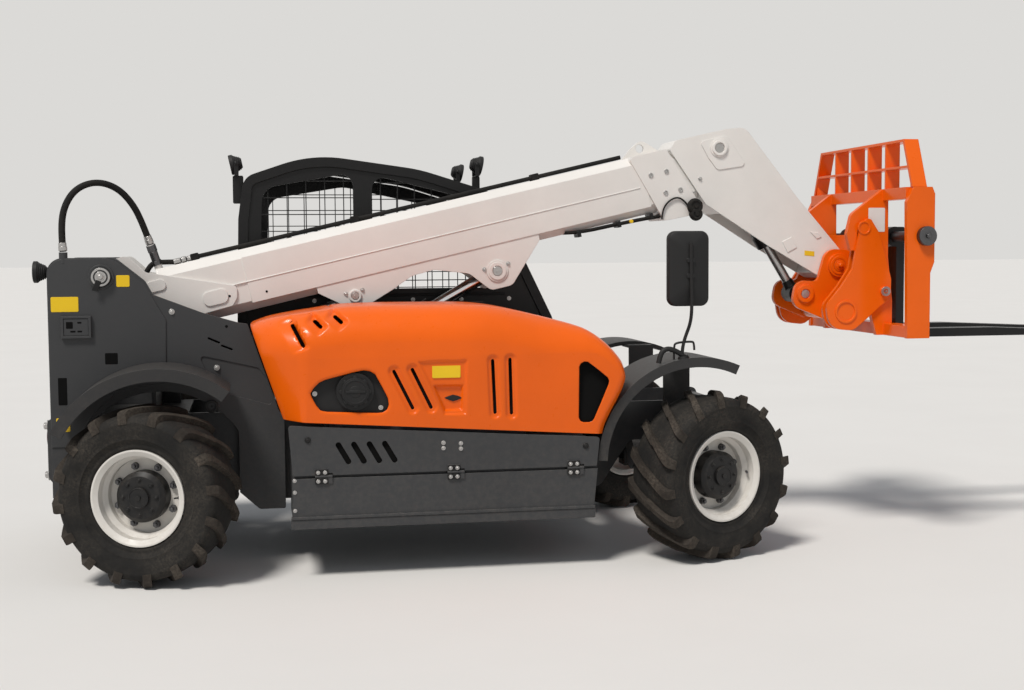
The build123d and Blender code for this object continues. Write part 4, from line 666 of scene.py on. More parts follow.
def boom_details():
    heads, pins, rings, keepers, skins, seams, marks = drafts(7)
    for y, out in boom_faces(COLLAR_SIDE):
        for along, square in ((2.81, -0.135), (2.897, -0.134), (2.868, -0.242), (2.95, -0.244)):
            place = facing(on_boom(along, square, y), out)
            ring(heads, place, 0.0125, 0.007, -0.0005, 0.0045)
            disc(heads, place, 0.0072, -0.0005, 0.0015, 6)
    piece("collar_bolts", heads, "steel", "boom_outer", 0.0006)
    for y, out in boom_faces(0.143):
        for pin, radius in ((LIFT_PIN, 0.0245), (COMP_PIN, 0.0185)):
            place = facing(on_boom(*pin, y), out)
            disc(pins, place, radius, -0.001, 0.003, 40, radius - 0.001)
            disc(pins, place, 0.007, 0.003, 0.008, 6)
    piece("boom_pin_ends", pins, "steel", "boom_outer", 0.0006)
    for y, out in boom_faces(BOOM_SIDE + 0.005):
        for pin, outer, inner in ((LIFT_PIN, 0.046, 0.027), (COMP_PIN, 0.031, 0.021)):
            ring(rings, facing(on_boom(*pin, y), out), outer, inner, -0.001, 0.0045)
    piece("boom_pin_rings", rings, "white", "boom_outer", 0.0015)
    for y, out in boom_faces(BOOM_SIDE):
        for along, square in ((1.84, -0.408), (1.968, -0.408), (1.122, -0.362), (1.208, -0.362)):
            bolt(keepers, facing(on_boom(along, square, y), out), 0.012)
        prism(skins, boom_outline([(0.66, -0.062), (2.78, -0.062), (2.78, -0.296), (0.66, -0.296)]),
              y - BOOM_SKIN, y + BOOM_SKIN)
    piece("boom_pin_keepers", keepers, "steel", "boom_outer", 0.0005)
    piece("boom_side_plates", skins, "white", "boom_outer", 0.002)
    for y, out in boom_faces(BOOM_SIDE + BOOM_SKIN):
        for start, end in ((0.575, 1.83), (1.83, 2.74)):
            place, run = between(on_boom(start, BOOM_SEAM, y), on_boom(end, BOOM_SEAM, y))
            disc(seams, place, 0.0032, 0, run, 12)
    piece("boom_welds", seams, "white", "boom_outer")
    # Dark discs: painted shade standing in for holes in the boom's sides.
    for half, along, square in ((BOOM_SIDE + 0.0105, 0.56, -0.235), (BOOM_SIDE + BOOM_SKIN, 0.742, -0.256)):
        for y, out in boom_faces(half):
            disc(marks, facing(on_boom(along, square, y), out), 0.006, -0.001, 0.001, 16)
    piece("boom_hole_shade", marks, "dark", "boom_outer")


def boom_lines():
    """Hose wheel and lines under the collar, and the rear ends of the lines along the top."""
    wheel, clips, cap, fittings = drafts(4)
    for along, square, size in ((3.0, -0.345, 0.04), (2.996, -0.386, 0.034)):
        place = facing(on_boom(along, square, BOOM_Y - COLLAR_SIDE), RIGHT)
        for k in range(3):
            spot = place @ Matrix.Translation((0, 0, 0.012 + 0.014 * k))
            torus(wheel, spot, size - 0.011 + 0.003 * (k % 2), 0.01)
        disc(wheel, place, size - 0.012, 0.0, 0.046, 32)
        disc(wheel, place, 0.012, 0.046, 0.052, 6)
    piece("hose_wheel", wheel, "hose", "boom_outer", 0.001)
    loop = boom_route(BOOM_Y - 0.152, (2.815, -0.372), (2.826, -0.33), (2.865, -0.29), (2.915, -0.276),
                      (2.952, -0.296), (2.972, -0.338))
    tube("sensor_cable", loop, 0.0045, "hose", "boom_outer")
    for k, (y, s) in enumerate(((-0.165, -0.34), (-0.195, -0.342), (-0.225, -0.339))):
        line = boom_route(y, (2.3, -0.324), (2.38, s), (2.6, s - 0.004), (2.8, s - 0.012), (2.93, s - 0.03),
                          (2.98, s - 0.022))
        tube(f"underside_line_{k}", line, 0.0085, "hose", "boom_outer")
    for a in (2.36, 2.58, 2.76):
        outline = boom_outline([(a, -0.328), (a + 0.02, -0.328), (a + 0.02, -0.362), (a, -0.362)])
        prism(clips, outline, -0.238, -0.148)
    piece("underside_clips", clips, "black", "boom_outer", 0.002)
    disc(cap, facing(on_boom(2.655, -0.345, -0.233), RIGHT), 0.01, 0, 0.016, 24, 0.01)
    piece("marker_cap", cap, "yellow", "boom_outer", 0.001)
    for y in LINES_Y:
        for start, run, across in ((0.335, 0.034, 0.015), (0.374, 0.022, 0.0165), (0.402, 0.03, 0.014)):
            place, _ = between(on_boom(start, LINE_SQUARE, y), on_boom(start + run, LINE_SQUARE, y))
            disc(fittings, place, across, 0, run, 6)
    piece("line_couplings", fittings, "steel", "boom_outer", 0.0008)
    for k, y in enumerate(LINES_Y):
        feed = boom_route(y, (0.19, -0.03), (0.225, 0.012), (0.275, 0.006), (0.335, LINE_SQUARE))
        tube(f"line_feed_{k}", feed, 0.0125, "hose", "boom_outer")


def gooseneck_details():
    pads, pins = drafts(2)
    for y, out in boom_faces(GOOSENECK_SIDE):
        sign = out[1]
        low, high = sorted((y - 0.001 * sign, y + 0.004 * sign))
        for outline in ([(3.445, -0.64), (3.505, -0.628), (3.52, -0.69), (3.462, -0.706)],
                        [(3.61, -0.625), (3.655, -0.64), (3.668, -0.668), (3.64, -0.672)]):
            prism(pads, boom_outline(outline), low, high)
        tilt = facing(on_boom(*TILT_PIN, y + 0.008 * sign), out)
        ring(pads, tilt, 0.041, 0.027, -0.001, 0.008)
        disc(pins, tilt, 0.0245, -0.001, 0.003, 40, 0.0235)
        bolt(pins, facing(on_boom(3.074, -0.214, y), out), 0.012)
    piece("gooseneck_pads", pads, "white", "boom_inner", 0.0018)
    piece("tilt_pin_ends", pins, "steel", "boom_inner", 0.0006)
    outline = boom_outline([(3.553, -0.742), (3.606, -0.76), (3.612, -0.734), (3.559, -0.716)])
    side = BOOM_Y - GOOSENECK_SIDE
    slab("plate_gooseneck", outline, side - 0.0008, side, "yellow", "boom_inner")


def coupler_details():
    pins, washers, caps, gussets, eye = drafts(5)

    def both(half, pin):
        """The pin's place on both sides of the coupler."""
        return [facing(at(pin[0], y, pin[1]), out) for y, out in boom_faces(half)]

    for place in both(0.165, TILT_EYE):
        disc(pins, place, 0.023, -0.001, 0.003, 40, 0.022)
        ring(washers, place, 0.046, 0.0265, -0.001, 0.006)
    for place in both(0.384, (2.405, 1.301)):
        ring(pins, place, 0.0255, 0.012, -0.001, 0.005)
        disc(pins, place, 0.006, -0.001, 0.01, 6)
    piece("coupler_pin_ends", pins, "steel", "coupler", 0.0008)
    for place in both(0.171, HEAD_PIN):
        ring(washers, place, 0.05, 0.034, -0.001, 0.004)
    for place in both(0.177, HEAD_PIN):
        bolt(washers, place, 0.024)
    for place in both(0.37, (2.19, 1.196)):
        ring(washers, place, 0.06, 0.0485, -0.002, 0.006)
    for place in both(0.37, (2.288, 1.634)):
        ring(washers, place, 0.036, 0.0265, -0.002, 0.004)
    piece("coupler_rings", washers, "orange", "coupler", 0.0012)
    slab("plate_carriage", rounded(2.319, 2.412, 1.612, 1.738, 0.006), -0.4557, -0.4549, "label", "coupler")
    for place in both(0.668, (2.495, 1.587)):
        ring(caps, place, 0.047, 0.02, -0.001, 0.004)
        bolt(caps, place, 0.022)
    piece("shaft_end_bolts", caps, "dark_steel", "coupler", 0.0008)
    for y in (BOOM_Y - 0.606, BOOM_Y - 0.32, BOOM_Y + 0.306, BOOM_Y + 0.592):
        prism(gussets, [(2.432, 1.836), (2.5, 1.836), (2.432, 1.885)], y, y + 0.014)
    piece("backrest_gussets", gussets, "orange", "coupler", 0.0015)
    for place in both(0.06, TILT_EYE):
        ring(eye, place, 0.0495, 0.024, -0.001, 0.002)
    ring(eye, facing(at(TILT_EYE[0], BOOM_Y - 0.06, TILT_EYE[1]), LEFT), 0.05, 0.0482, 0, 0.12)
    place, _ = between(at(TILT_EYE[0], BOOM_Y, TILT_EYE[1]), on_boom(*TILT_PIN, BOOM_Y))
    disc(eye, place, 0.036, 0.03, 0.082, 32, 0.028)
    piece("tilt_rod_eye", eye, "black", "tilt_rod", 0.001)


# Outer face of the plate on the tower's side, and the plate's outline
TOWER_DOUBLER = TOWER_OUTER - 0.006
DOUBLER = [
    (-1.819, 0.6), (-1.72, 0.6), (-1.62, 0.755), (-1.5, 0.872), (-1.278, 0.9), (-1.273, 1.205),
    (-1.338, 1.32), (-1.372, 1.382), (-1.505, 1.492), (-1.545, 1.503), (-1.74, 1.503), (-1.775, 1.495),
    (-1.803, 1.47), (-1.817, 1.43),
]


def tower_details():
    slab("tower_doubler", DOUBLER, TOWER_DOUBLER, TOWER_OUTER, "grey", "chassis", 0.0015)
    signs, hole_shade, pivot, cap, boss = drafts(5)
    boxes = (-1.804, -1.677, 1.249, 1.321), (-1.5, -1.438, 1.366, 1.422), (-1.794, -1.73, 0.674, 0.741)
    plates(signs, boxes, 0.006, TOWER_DOUBLER - 0.0012, TOWER_DOUBLER)
    piece("plates_tower", signs, "yellow", "chassis")
    cover = rounded(-1.7465, -1.6325, 1.1355, 1.2175, 0.004)
    slab("socket_cover", cover, TOWER_OUTER - 0.0215, TOWER_OUTER - 0.008, "grey", "chassis", 0.002)
    # Dark plates: painted shade standing in for holes and cut-outs in the socket cover and the tower's
    # plates.
    plates(hole_shade, ((-1.735, -1.704, 1.17, 1.202), (-1.683, -1.664, 1.194, 1.202),
                   (-1.716, -1.692, 1.152, 1.16), (-1.683, -1.662, 1.152, 1.16)), 0.0025,
           TOWER_OUTER - 0.0222, TOWER_OUTER - 0.0212)
    plates(hole_shade, ((-1.561, -1.502, 0.995, 1.049), (-1.781, -1.74, 0.803, 0.934)), 0.004,
           TOWER_OUTER - 0.0066, TOWER_OUTER - 0.0058)
    disc(hole_shade, facing(at(-0.987, TOWER_OUTER, 1.168), RIGHT), 0.007, -0.001, 0.0006, 20)
    piece("tower_hole_shade", hole_shade, "dark", "chassis")
    # Dark sheet: painted shade on the inner face of the tower's side plate.
    slab("tower_opening_shade", rounded(-1.095, -0.945, 1.035, 1.13, 0.006), TOWER_OUTER + TOWER_PLATE,
         TOWER_OUTER + TOWER_PLATE + 0.004, "dark", "chassis")
    for y, out in ((TOWER_DOUBLER, RIGHT), (BOOM_Y + 0.295, LEFT)):
        ring(pivot, facing(at(PIVOT[0], y, PIVOT[1]), out), 0.06, 0.0475, -0.001, 0.007)
    piece("pivot_rings", pivot, "grey", "chassis", 0.0015)
    for y, out in ((TOWER_OUTER - 0.03, RIGHT), (BOOM_Y + 0.325, LEFT)):
        place = facing(at(PIVOT[0], y, PIVOT[1]), out)
        ring(cap, place, 0.044, 0.034, -0.001, 0.003)
        ring(cap, place, 0.027, 0.018, -0.001, 0.004)
        bolt(cap, place, 0.026)
    spots = ((-1.037, 0.967), (-1.055, 0.893), (-1.245, 1.243))
    bolts(cap, [(x, TOWER_OUTER, z) for x, z in spots], RIGHT, 0.015)
    bolts(cap, [(x, TOWER_DOUBLER, z) for x, z in ((-1.3, 0.975), (-1.35, 0.93))], RIGHT, 0.013)
    piece("tower_bolts", cap, "steel", "chassis", 0.0008)
    keeper = [(-1.612, 1.352), (-1.585, 1.345), (-1.566, 1.392), (-1.59, 1.402)]
    slab("pivot_keeper", keeper, TOWER_OUTER - 0.036, TOWER_OUTER - 0.0305, "black", "chassis", 0.001)
    place = facing(at(-1.065, TOWER_OUTER - 0.008, 0.779), RIGHT)
    ring(boss, place, 0.031, 0.018, -0.001, 0.012)
    disc(boss, place, 0.006, -0.001, 0.004, 6)
    piece("tower_boss", boss, "black", "chassis", 0.001)


# Hood skin: a grid of columns along the machine and rows up the side and over the top, in the layout
HOOD_INNER = -0.336
HOOD_LOW = ((-0.729, 0.747), (0.792, 0.644))
HOOD_REAR = ((-0.729, 0.747), (-0.886, 1.214))
HOOD_FRONT = [(0.6, 0.788), (0.644, 0.792), (0.9, 0.902), (0.925, 0.908), (0.96, 0.906), (1.3, 0.86)]
HOOD_TOP = [
    (-0.9, 1.172), (-0.886, 1.178), (-0.81, 1.207), (-0.677, 1.236), (-0.57, 1.252), (-0.455, 1.268),
    (-0.29, 1.274), (-0.03, 1.274), (0.12, 1.273), (0.21, 1.269), (0.3, 1.258), (0.38, 1.243),
    (0.475, 1.22), (0.575, 1.194), (0.65, 1.173), (0.715, 1.149), (0.77, 1.115), (0.82, 1.073),
    (0.865, 1.025), (0.895, 0.983), (0.909, 0.945),
]
HOOD_SLOTS = [((-0.132, 0.795), (-0.219, 0.97)), ((-0.045, 0.796), (-0.133, 0.977)),
              ((0.26, 0.763), (0.247, 1.011)), ((0.339, 0.758), (0.33, 1.015))]
# scoops: ends of the opening, half its width, how far the dish reaches to the rear
HOOD_SCOOPS = [((-0.634, 1.108), (-0.68, 1.2), 0.0085, 0.06),
               ((-0.552, 1.194), (-0.576, 1.218), 0.009, 0.045),
               ((-0.457, 1.214), (-0.482, 1.238), 0.009, 0.045)]
HOOD_WINDOW = [
    (-0.606, 0.876), (-0.59, 0.902), (-0.565, 0.926), (-0.54, 0.938), (-0.48, 0.953), (-0.4, 0.972),
    (-0.36, 0.979), (-0.33, 0.974), (-0.306, 0.958), (-0.27, 0.89), (-0.248, 0.845), (-0.244, 0.815),
    (-0.252, 0.792), (-0.272, 0.779), (-0.3, 0.777), (-0.42, 0.783), (-0.53, 0.789), (-0.56, 0.795),
    (-0.58, 0.82), (-0.598, 0.855),
]
HOOD_VENT = [
    (0.664, 0.975), (0.672, 0.99), (0.688, 0.998), (0.706, 0.997), (0.76, 0.956), (0.806, 0.918),
    (0.813, 0.902), (0.81, 0.886), (0.775, 0.8), (0.742, 0.722), (0.734, 0.709), (0.72, 0.704),
    (0.69, 0.704), (0.674, 0.71), (0.665, 0.726),
]
POCKET = [(-0.101, 1.012), (0.121, 1.016), (0.118, 0.762), (0.018, 0.762)]
POCKET_FLOOR = [(-0.036, 0.9), (0.108, 0.9), (0.106, 0.776), (0.02, 0.776)]
POCKET_DEPTH = 0.010
POCKET_FLOOR_DEPTH = 0.016
SLOT_HALF = 0.0078
CHANNEL_DEPTH = 0.009
WINDOW_DEPTH = 0.004
DISH_DEPTH = 0.020
DISH_IN = 0.75
DISH_DOWN = 0.65
HEM = 0.022
# roundings of the grid: run and depth at the front and the rear, where the rear one grows with height,
# and the shoulder to the top, which shrinks to the front
FRONT_RUN = 0.045
REAR_RUN = 0.105
REAR_RUN_MORE = 0.185
REAR_DEEP = 0.115
REAR_DEEP_MORE = 0.085
FLARE_FROM = 0.747
FLARE_RUN = 0.45
SHOULDER = 0.175
SHOULDER_LESS = 0.085
TOP_EDGE = 0.03
TOP_DIP = 0.012
# below HOOD_LEAN_TOP the side leans in, by up to HOOD_LEAN over HOOD_LEAN_RUN
HOOD_LEAN = 0.030
HOOD_LEAN_TOP = 1.038
HOOD_LEAN_RUN = 0.435
REAR_COLUMNS = 44
MIDDLE_COLUMNS = 260
FRONT_COLUMNS = 8
SIDE_ROWS = 72
ROUND_ROWS = 40
GRID_ROUNDS = 8
EDGE_ROUNDS = 3
HOOD_SHEET = 0.004
SNAP = 0.0004


def along_points(points, value):
    """Smooth curve through points (a, b): b at each value of a."""
    a = np.array([p[0] for p in points])
    b = np.array([p[1] for p in points])
    slope = np.gradient(b, a)
    k = np.clip(np.searchsorted(a, value) - 1, 0, len(a) - 2)
    run = a[k + 1] - a[k]
    t = np.clip((value - a[k]) / run, 0, 1)
    return ((2 * t ** 3 - 3 * t ** 2 + 1) * b[k] + (t ** 3 - 2 * t ** 2 + t) * run * slope[k]
            + (-2 * t ** 3 + 3 * t ** 2) * b[k + 1] + (t ** 3 - t ** 2) * run * slope[k + 1])


def line_at(line, value, axis):
    """The other coordinate of a straight line where one coordinate has the value."""
    (x0, z0), (x1, z1) = line
    if axis == "z":
        return x0 + (x1 - x0) * (value - z0) / (z1 - z0)
    return z0 + (z1 - z0) * (value - x0) / (x1 - x0)


def off_segment(x, z, start, end):
    """Distance from a segment."""
    dx, dz = end[0] - start[0], end[1] - start[1]
    t = np.clip(((x - start[0]) * dx + (z - start[1]) * dz) / (dx * dx + dz * dz), 0, 1)
    return np.hypot(x - start[0] - t * dx, z - start[1] - t * dz)


def off_outline(x, z, points):
    """Distance from an outline, negative inside."""
    near = np.full(x.shape, 9.0)
    inside = np.zeros(x.shape, bool)
    for (x0, z0), (x1, z1) in zip(points, points[1:] + points[:1]):
        near = np.minimum(near, off_segment(x, z, (x0, z0), (x1, z1)))
        if z0 != z1:
            crosses = (z0 > z) != (z1 > z)
            inside ^= crosses & (x < x0 + (z - z0) * (x1 - x0) / (z1 - z0))
    return np.where(inside, -near, near)


def openings(x, z):
    """Distance from the nearest opening's edge, negative inside."""
    near = np.minimum(off_outline(x, z, HOOD_WINDOW), off_outline(x, z, HOOD_VENT))
    for start, end in HOOD_SLOTS:
        near = np.minimum(near, off_segment(x, z, start, end) - SLOT_HALF)
    for start, end, half, _ in HOOD_SCOOPS:
        near = np.minimum(near, off_segment(x, z, start, end) - half)
    return near


def smooth(value, low, high):
    t = np.clip((value - low) / (high - low), 0, 1)
    return t * t * (3 - 2 * t)


def dents(x, z):
    """Depth of the pressed channels, the pocket and the window's edge; and the scoops' dishes."""
    depth = np.zeros(x.shape)
    for start, end in HOOD_SLOTS:
        depth = np.maximum(depth, CHANNEL_DEPTH * smooth(off_segment(x, z, start, end), 0.031, 0.019))
    depth = np.maximum(depth, POCKET_DEPTH * smooth(off_outline(x, z, POCKET), 0.006, -0.006))
    depth += POCKET_FLOOR_DEPTH * smooth(off_outline(x, z, POCKET_FLOOR), 0.002, -0.010)
    depth += WINDOW_DEPTH * smooth(off_outline(x, z, HOOD_WINDOW), 0.012, 0.0)
    dish = np.zeros(x.shape)
    for start, end, half, reach in HOOD_SCOOPS:
        dx, dz = end[0] - start[0], end[1] - start[1]
        size = hypot(dx, dz)
        q = ((x - start[0]) * dx + (z - start[1]) * dz) / size
        p = ((x - start[0]) * dz - (z - start[1]) * dx) / size * -1
        ends = smooth(q, -0.034, -0.012) * smooth(q, size + 0.034, size + 0.012)
        fall = smooth(p, -half - 0.012, -half - 0.003) * np.clip(1 - (p - half) / reach, 0, 1)
        dish = np.maximum(dish, DISH_DEPTH * ends * fall)
    return depth, dish


def facet(part):
    """Slope of the hood's rear corner: almost flat, with soft bends at both ends."""
    bend = 0.3
    flat = part * part / (2 * bend) if part < bend else part - bend / 2
    return 0.72 * flat / (1 - bend / 2) + 0.28 * (1 - sqrt(1 - part * part))


def crossings(near):
    """Which points of the grid go onto an opening's edge: the nearer end of each line that crosses it."""
    moved = np.zeros(near.shape, dtype=bool)
    for first, second in ((np.s_[:, :-1], np.s_[:, 1:]), (np.s_[:-1, :], np.s_[1:, :])):
        cross = near[first] * near[second] < 0
        closer = np.abs(near[first]) <= np.abs(near[second])
        moved[first] |= cross & closer
        moved[second] |= cross & ~closer
    return moved


def hood_grid():
    """x and z of the grid's points, and how far each lies in from the hood's outer side."""
    # each column and row: where it lies, and how far round or along that part
    walls = (0.25, 0.6, 1.0)
    columns = [("rear_wall", value) for value in walls[::-1]]
    columns += [("rear", value) for value in np.linspace(0, pi / 2, REAR_COLUMNS)]
    columns += [("middle", (k + 1) / (MIDDLE_COLUMNS + 1)) for k in range(MIDDLE_COLUMNS)]
    columns += [("front", value) for value in np.linspace(0, pi / 2, FRONT_COLUMNS)[::-1]]
    columns += [("front_wall", value) for value in walls]
    rows = [("hem", 1.0)] + [("side", k / SIDE_ROWS) for k in range(SIDE_ROWS)]
    rows += [("round", pi / 2 * k / ROUND_ROWS) for k in range(ROUND_ROWS + 1)]
    rows += [("top", value) for value in (0.15, 0.4, 0.7, 1.0)]
    width = HOOD_INNER - HOOD_OUTER
    shape = (len(rows), len(columns))
    x = np.zeros(shape) + np.linspace(-0.8, 0.85, len(columns))[None, :]
    z = np.full(shape, 0.95)
    rear_push, front_push, top_push = np.zeros(shape), np.zeros(shape), np.zeros(shape)
    # x and z hang on each other, and settle in a few rounds
    for _ in range(GRID_ROUNDS):
        rear = line_at(HOOD_REAR, z, "z")
        front = along_points(HOOD_FRONT, z)
        flare = np.clip((z - FLARE_FROM) / FLARE_RUN, 0, 1)
        rear_run, rear_deep = REAR_RUN + REAR_RUN_MORE * flare, REAR_DEEP + REAR_DEEP_MORE * flare
        for j, (kind, value) in enumerate(columns):
            if kind == "rear_wall":
                x[:, j] = rear[:, j]
                rear_push[:, j] = rear_deep[:, j] + value * (width - rear_deep[:, j])
            elif kind == "rear":
                x[:, j] = rear[:, j] + rear_run[:, j] * (1 - cos(value))
                rear_push[:, j] = rear_deep[:, j] * facet(cos(value))
            elif kind == "middle":
                low, high = rear[:, j] + rear_run[:, j], front[:, j] - FRONT_RUN
                x[:, j] = low + value * (high - low)
            elif kind == "front":
                x[:, j] = front[:, j] - FRONT_RUN * (1 - cos(value))
                front_push[:, j] = FRONT_RUN * (1 - sin(value))
            else:
                x[:, j] = front[:, j]
                front_push[:, j] = FRONT_RUN + value * (width - FRONT_RUN)
        low = line_at(HOOD_LOW, x, "x")
        top = along_points(HOOD_TOP, x)
        gap = np.clip(x - rear, 0, TOP_EDGE)
        top = top - TOP_DIP * (1 - np.sqrt(np.clip(1 - (1 - gap / TOP_EDGE) ** 2, 0, 1)))
        radius = SHOULDER - SHOULDER_LESS * smooth(x, 0.45, 0.85)
        for i, (kind, value) in enumerate(rows):
            if kind == "hem":
                z[i] = low[i]
                top_push[i] = HEM
            elif kind == "side":
                z[i] = low[i] + value * (top[i] - radius[i] - low[i])
            elif kind == "round":
                z[i] = top[i] - radius[i] * (1 - sin(value))
                top_push[i] = radius[i] * (1 - cos(value))
            else:
                z[i] = top[i]
                top_push[i] = radius[i] + value * (width - radius[i])
    return x, z, rear_push + front_push + top_push


def onto_edges(x, z):
    """Brings the grid's nearest points onto the edges of the openings."""
    step = 1e-4
    crossing = crossings(openings(x, z))
    for _ in range(EDGE_ROUNDS):
        near = openings(x, z)
        slope_x = (openings(x + step, z) - near) / step
        slope_z = (openings(x, z + step) - near) / step
        size = np.maximum(np.hypot(slope_x, slope_z), 0.3)
        move = np.where(crossing, -near, 0)
        x = x + move * slope_x / size
        z = z + move * slope_z / size
    return x, z


def hood_skin():
    x, z, push = hood_grid()
    x, z = onto_edges(x, z)
    lean = np.clip((HOOD_LEAN_TOP - z) / HOOD_LEAN_RUN, 0, 1)
    depth, dish = dents(x, z)
    y = np.minimum(HOOD_OUTER + HOOD_LEAN * lean + push + depth + DISH_IN * dish, HOOD_INNER)
    near = openings(x, z)
    z = z - DISH_DOWN * dish
    skin = bmesh.new()
    rows, columns = x.shape
    verts = [[skin.verts.new(at(x[i, j], y[i, j], z[i, j])) for j in range(columns)] for i in range(rows)]
    for i in range(rows - 1):
        for j in range(columns - 1):
            corners = ((i, j), (i, j + 1), (i + 1, j + 1), (i + 1, j))
            outside = [verts[a][b] for a, b in corners if near[a, b] > -SNAP]
            if len(outside) > 2 and max(near[a, b] for a, b in corners) > SNAP:
                skin.faces.new(outside)
    loose = [vert for vert in skin.verts if not vert.link_faces]
    bmesh.ops.delete(skin, geom=loose, context="VERTS")
    bmesh.ops.remove_doubles(skin, verts=skin.verts, dist=1e-5)
    bmesh.ops.dissolve_degenerate(skin, edges=skin.edges, dist=1e-5)
    thing = piece("hood_skin", skin, "orange", "hood")
    sheet = thing.modifiers.new("sheet", "SOLIDIFY")
    sheet.thickness = HOOD_SHEET
    sheet.offset = -1
    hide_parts("hood")


def hood_hinges():
    hinges = bmesh.new()
    for x in (-0.33, 0.23):
        disc(hinges, facing(at(x, HOOD_INNER, 1.245), AHEAD), 0.011, 0, 0.06, 28)
        prism(hinges, rounded(x, x + 0.06, 1.246, 1.2715, 0.002), HOOD_INNER - 0.006, HOOD_INNER - 0.001)
    piece("hood_hinges", hinges, "black", "hood", 0.0008, "hood")


def hood_details():
    back, cap, screws = drafts(3)
    # Dark sheets: painted shade behind the slots, the vent and the scoops, for the hood's inside seen through
    # them.
    for outline, low, high in (
            ([(-0.232, 0.76), (-0.123, 0.76), (-0.123, 1.02), (-0.232, 1.02)], -0.846, -0.842),
            ([(-0.123, 0.76), (-0.03, 0.76), (-0.03, 0.86), (-0.123, 1.0)], -0.846, -0.842),
            ([(0.2, 0.735), (0.38, 0.735), (0.38, 1.04), (0.2, 1.04)], -0.846, -0.842),
            ([(0.652, 0.695), (0.748, 0.695), (0.832, 0.88), (0.828, 0.93), (0.72, 1.012), (0.652, 1.012)],
             -0.842, -0.838),
            ([(-0.715, 1.06), (-0.42, 1.06), (-0.42, 1.215), (-0.672, 1.215), (-0.7, 1.19)], -0.745, -0.74)):
        prism(back, outline, low, high)
    piece("hood_opening_shade", back, "dark", "hood")
    latch = [(0.02, 0.838), (0.04, 0.846), (0.06, 0.852), (0.084, 0.846), (0.106, 0.836), (0.082, 0.826),
             (0.06, 0.82), (0.04, 0.828)]
    slab("hood_latch", latch, -0.8445, -0.838, "plastic", "hood", 0.0015)
    slab("plate_hood", rounded(-0.04, 0.094, 0.934, 0.996, 0.006), -0.8668, -0.863, "yellow", "hood")
    place = facing(at(-0.4, -0.882, 0.88), RIGHT)
    ring(cap, place, 0.058, 0.05, -0.001, 0.002)
    disc(cap, place, 0.03, -0.001, 0.0015, 40, 0.026)
    prism(cap, rounded(-0.446, -0.354, 0.874, 0.886, 0.005), -0.8865, -0.8815)
    piece("cap_face", cap, "plastic", "hood", 0.001)
    bolts(screws, [(x, -0.8405, z) for x, z in ((-0.585, 0.872), (-0.28, 0.8))], RIGHT, 0.012)
    piece("cap_screws", screws, "steel", "hood")


# Outer faces of the hinge plates, on the box door and on the box's fixed side below it
HINGE_UPPER = -0.8585
HINGE_LOWER = -0.8590


def box_details():
    upper, lower, upper_bolts, lower_bolts, locks = drafts(5)
    for x in (-0.56, 0.06, 0.64):
        prism(upper, rounded(x - 0.03, x + 0.03, 0.4925, 0.5205, 0.003), HINGE_UPPER, -0.8562)
        prism(lower, rounded(x - 0.03, x + 0.03, 0.452, 0.479, 0.003), HINGE_LOWER, -0.85)
        bolts(upper_bolts, [(x + dx, HINGE_UPPER, 0.506) for dx in (-0.016, 0.016)], RIGHT, 0.01)
        bolts(lower_bolts, [(x + dx, HINGE_LOWER, 0.465) for dx in (-0.016, 0.016)], RIGHT, 0.01)
    spots = ((0.012, 0.626), (0.012, 0.601), (0.095, 0.621), (0.095, 0.596))
    bolts(upper_bolts, [(x, BOX_OUTER, z) for x, z in spots], RIGHT, 0.011)
    bolts(lower_bolts, [(-0.684, BOX_OUTER, z) for z in (0.33, 0.415, 0.47)], RIGHT, 0.01)
    piece("hinge_plates_upper", upper, "black", "box_door", 0.0008)
    piece("hinge_plates_lower", lower, "black", "chassis", 0.0008)
    piece("hinge_bolts_upper", upper_bolts, "steel", "box_door", 0.0004)
    piece("hinge_bolts_lower", lower_bolts, "steel", "chassis", 0.0004)
    for x, z in ((-0.621, 0.658), (0.701, 0.59)):
        place = facing(at(x, BOX_OUTER, z), RIGHT)
        disc(locks, place, 0.015, 0, 0.006, 28, 0.013)
        disc(locks, place, 0.007, 0.006, 0.01, 6)
    piece("door_locks", locks, "black", "box_door", 0.001)
    sill = [(-0.702, 0.242), (0.745, 0.242), (0.747, 0.2875), (-0.702, 0.2875)]
    slab("box_sill", sill, -0.858, -0.8275, "grey", "chassis", 0.0025)
    # Dark sheet: painted shade behind the slot in the box door.
    opening_shade = [(-0.505, 0.535), (-0.18, 0.535), (-0.18, 0.65), (-0.505, 0.65)]
    slab("slot_opening_shade", opening_shade, -0.835, -0.834, "dark", "box_door")


# Mirror: its middle along and across the machine, and the shell's outlines from the glass to the back:
# half width, low and high edge, distance from the middle across the machine, radius of the corners
MIRROR_X = 1.225
MIRROR_Y = -0.800
MIRROR_SHELL = [
    (0.098, 1.257, 1.612, 0.03, 0.036), (0.102, 1.252, 1.617, 0.02, 0.04),
    (0.102, 1.252, 1.617, -0.012, 0.04), (0.099, 1.256, 1.613, -0.021, 0.038),
    (0.091, 1.265, 1.604, -0.026, 0.034), (0.02, 1.345, 1.545, -0.043, 0.016),
    (0.013, 1.36, 1.53, -0.044, 0.01),
]


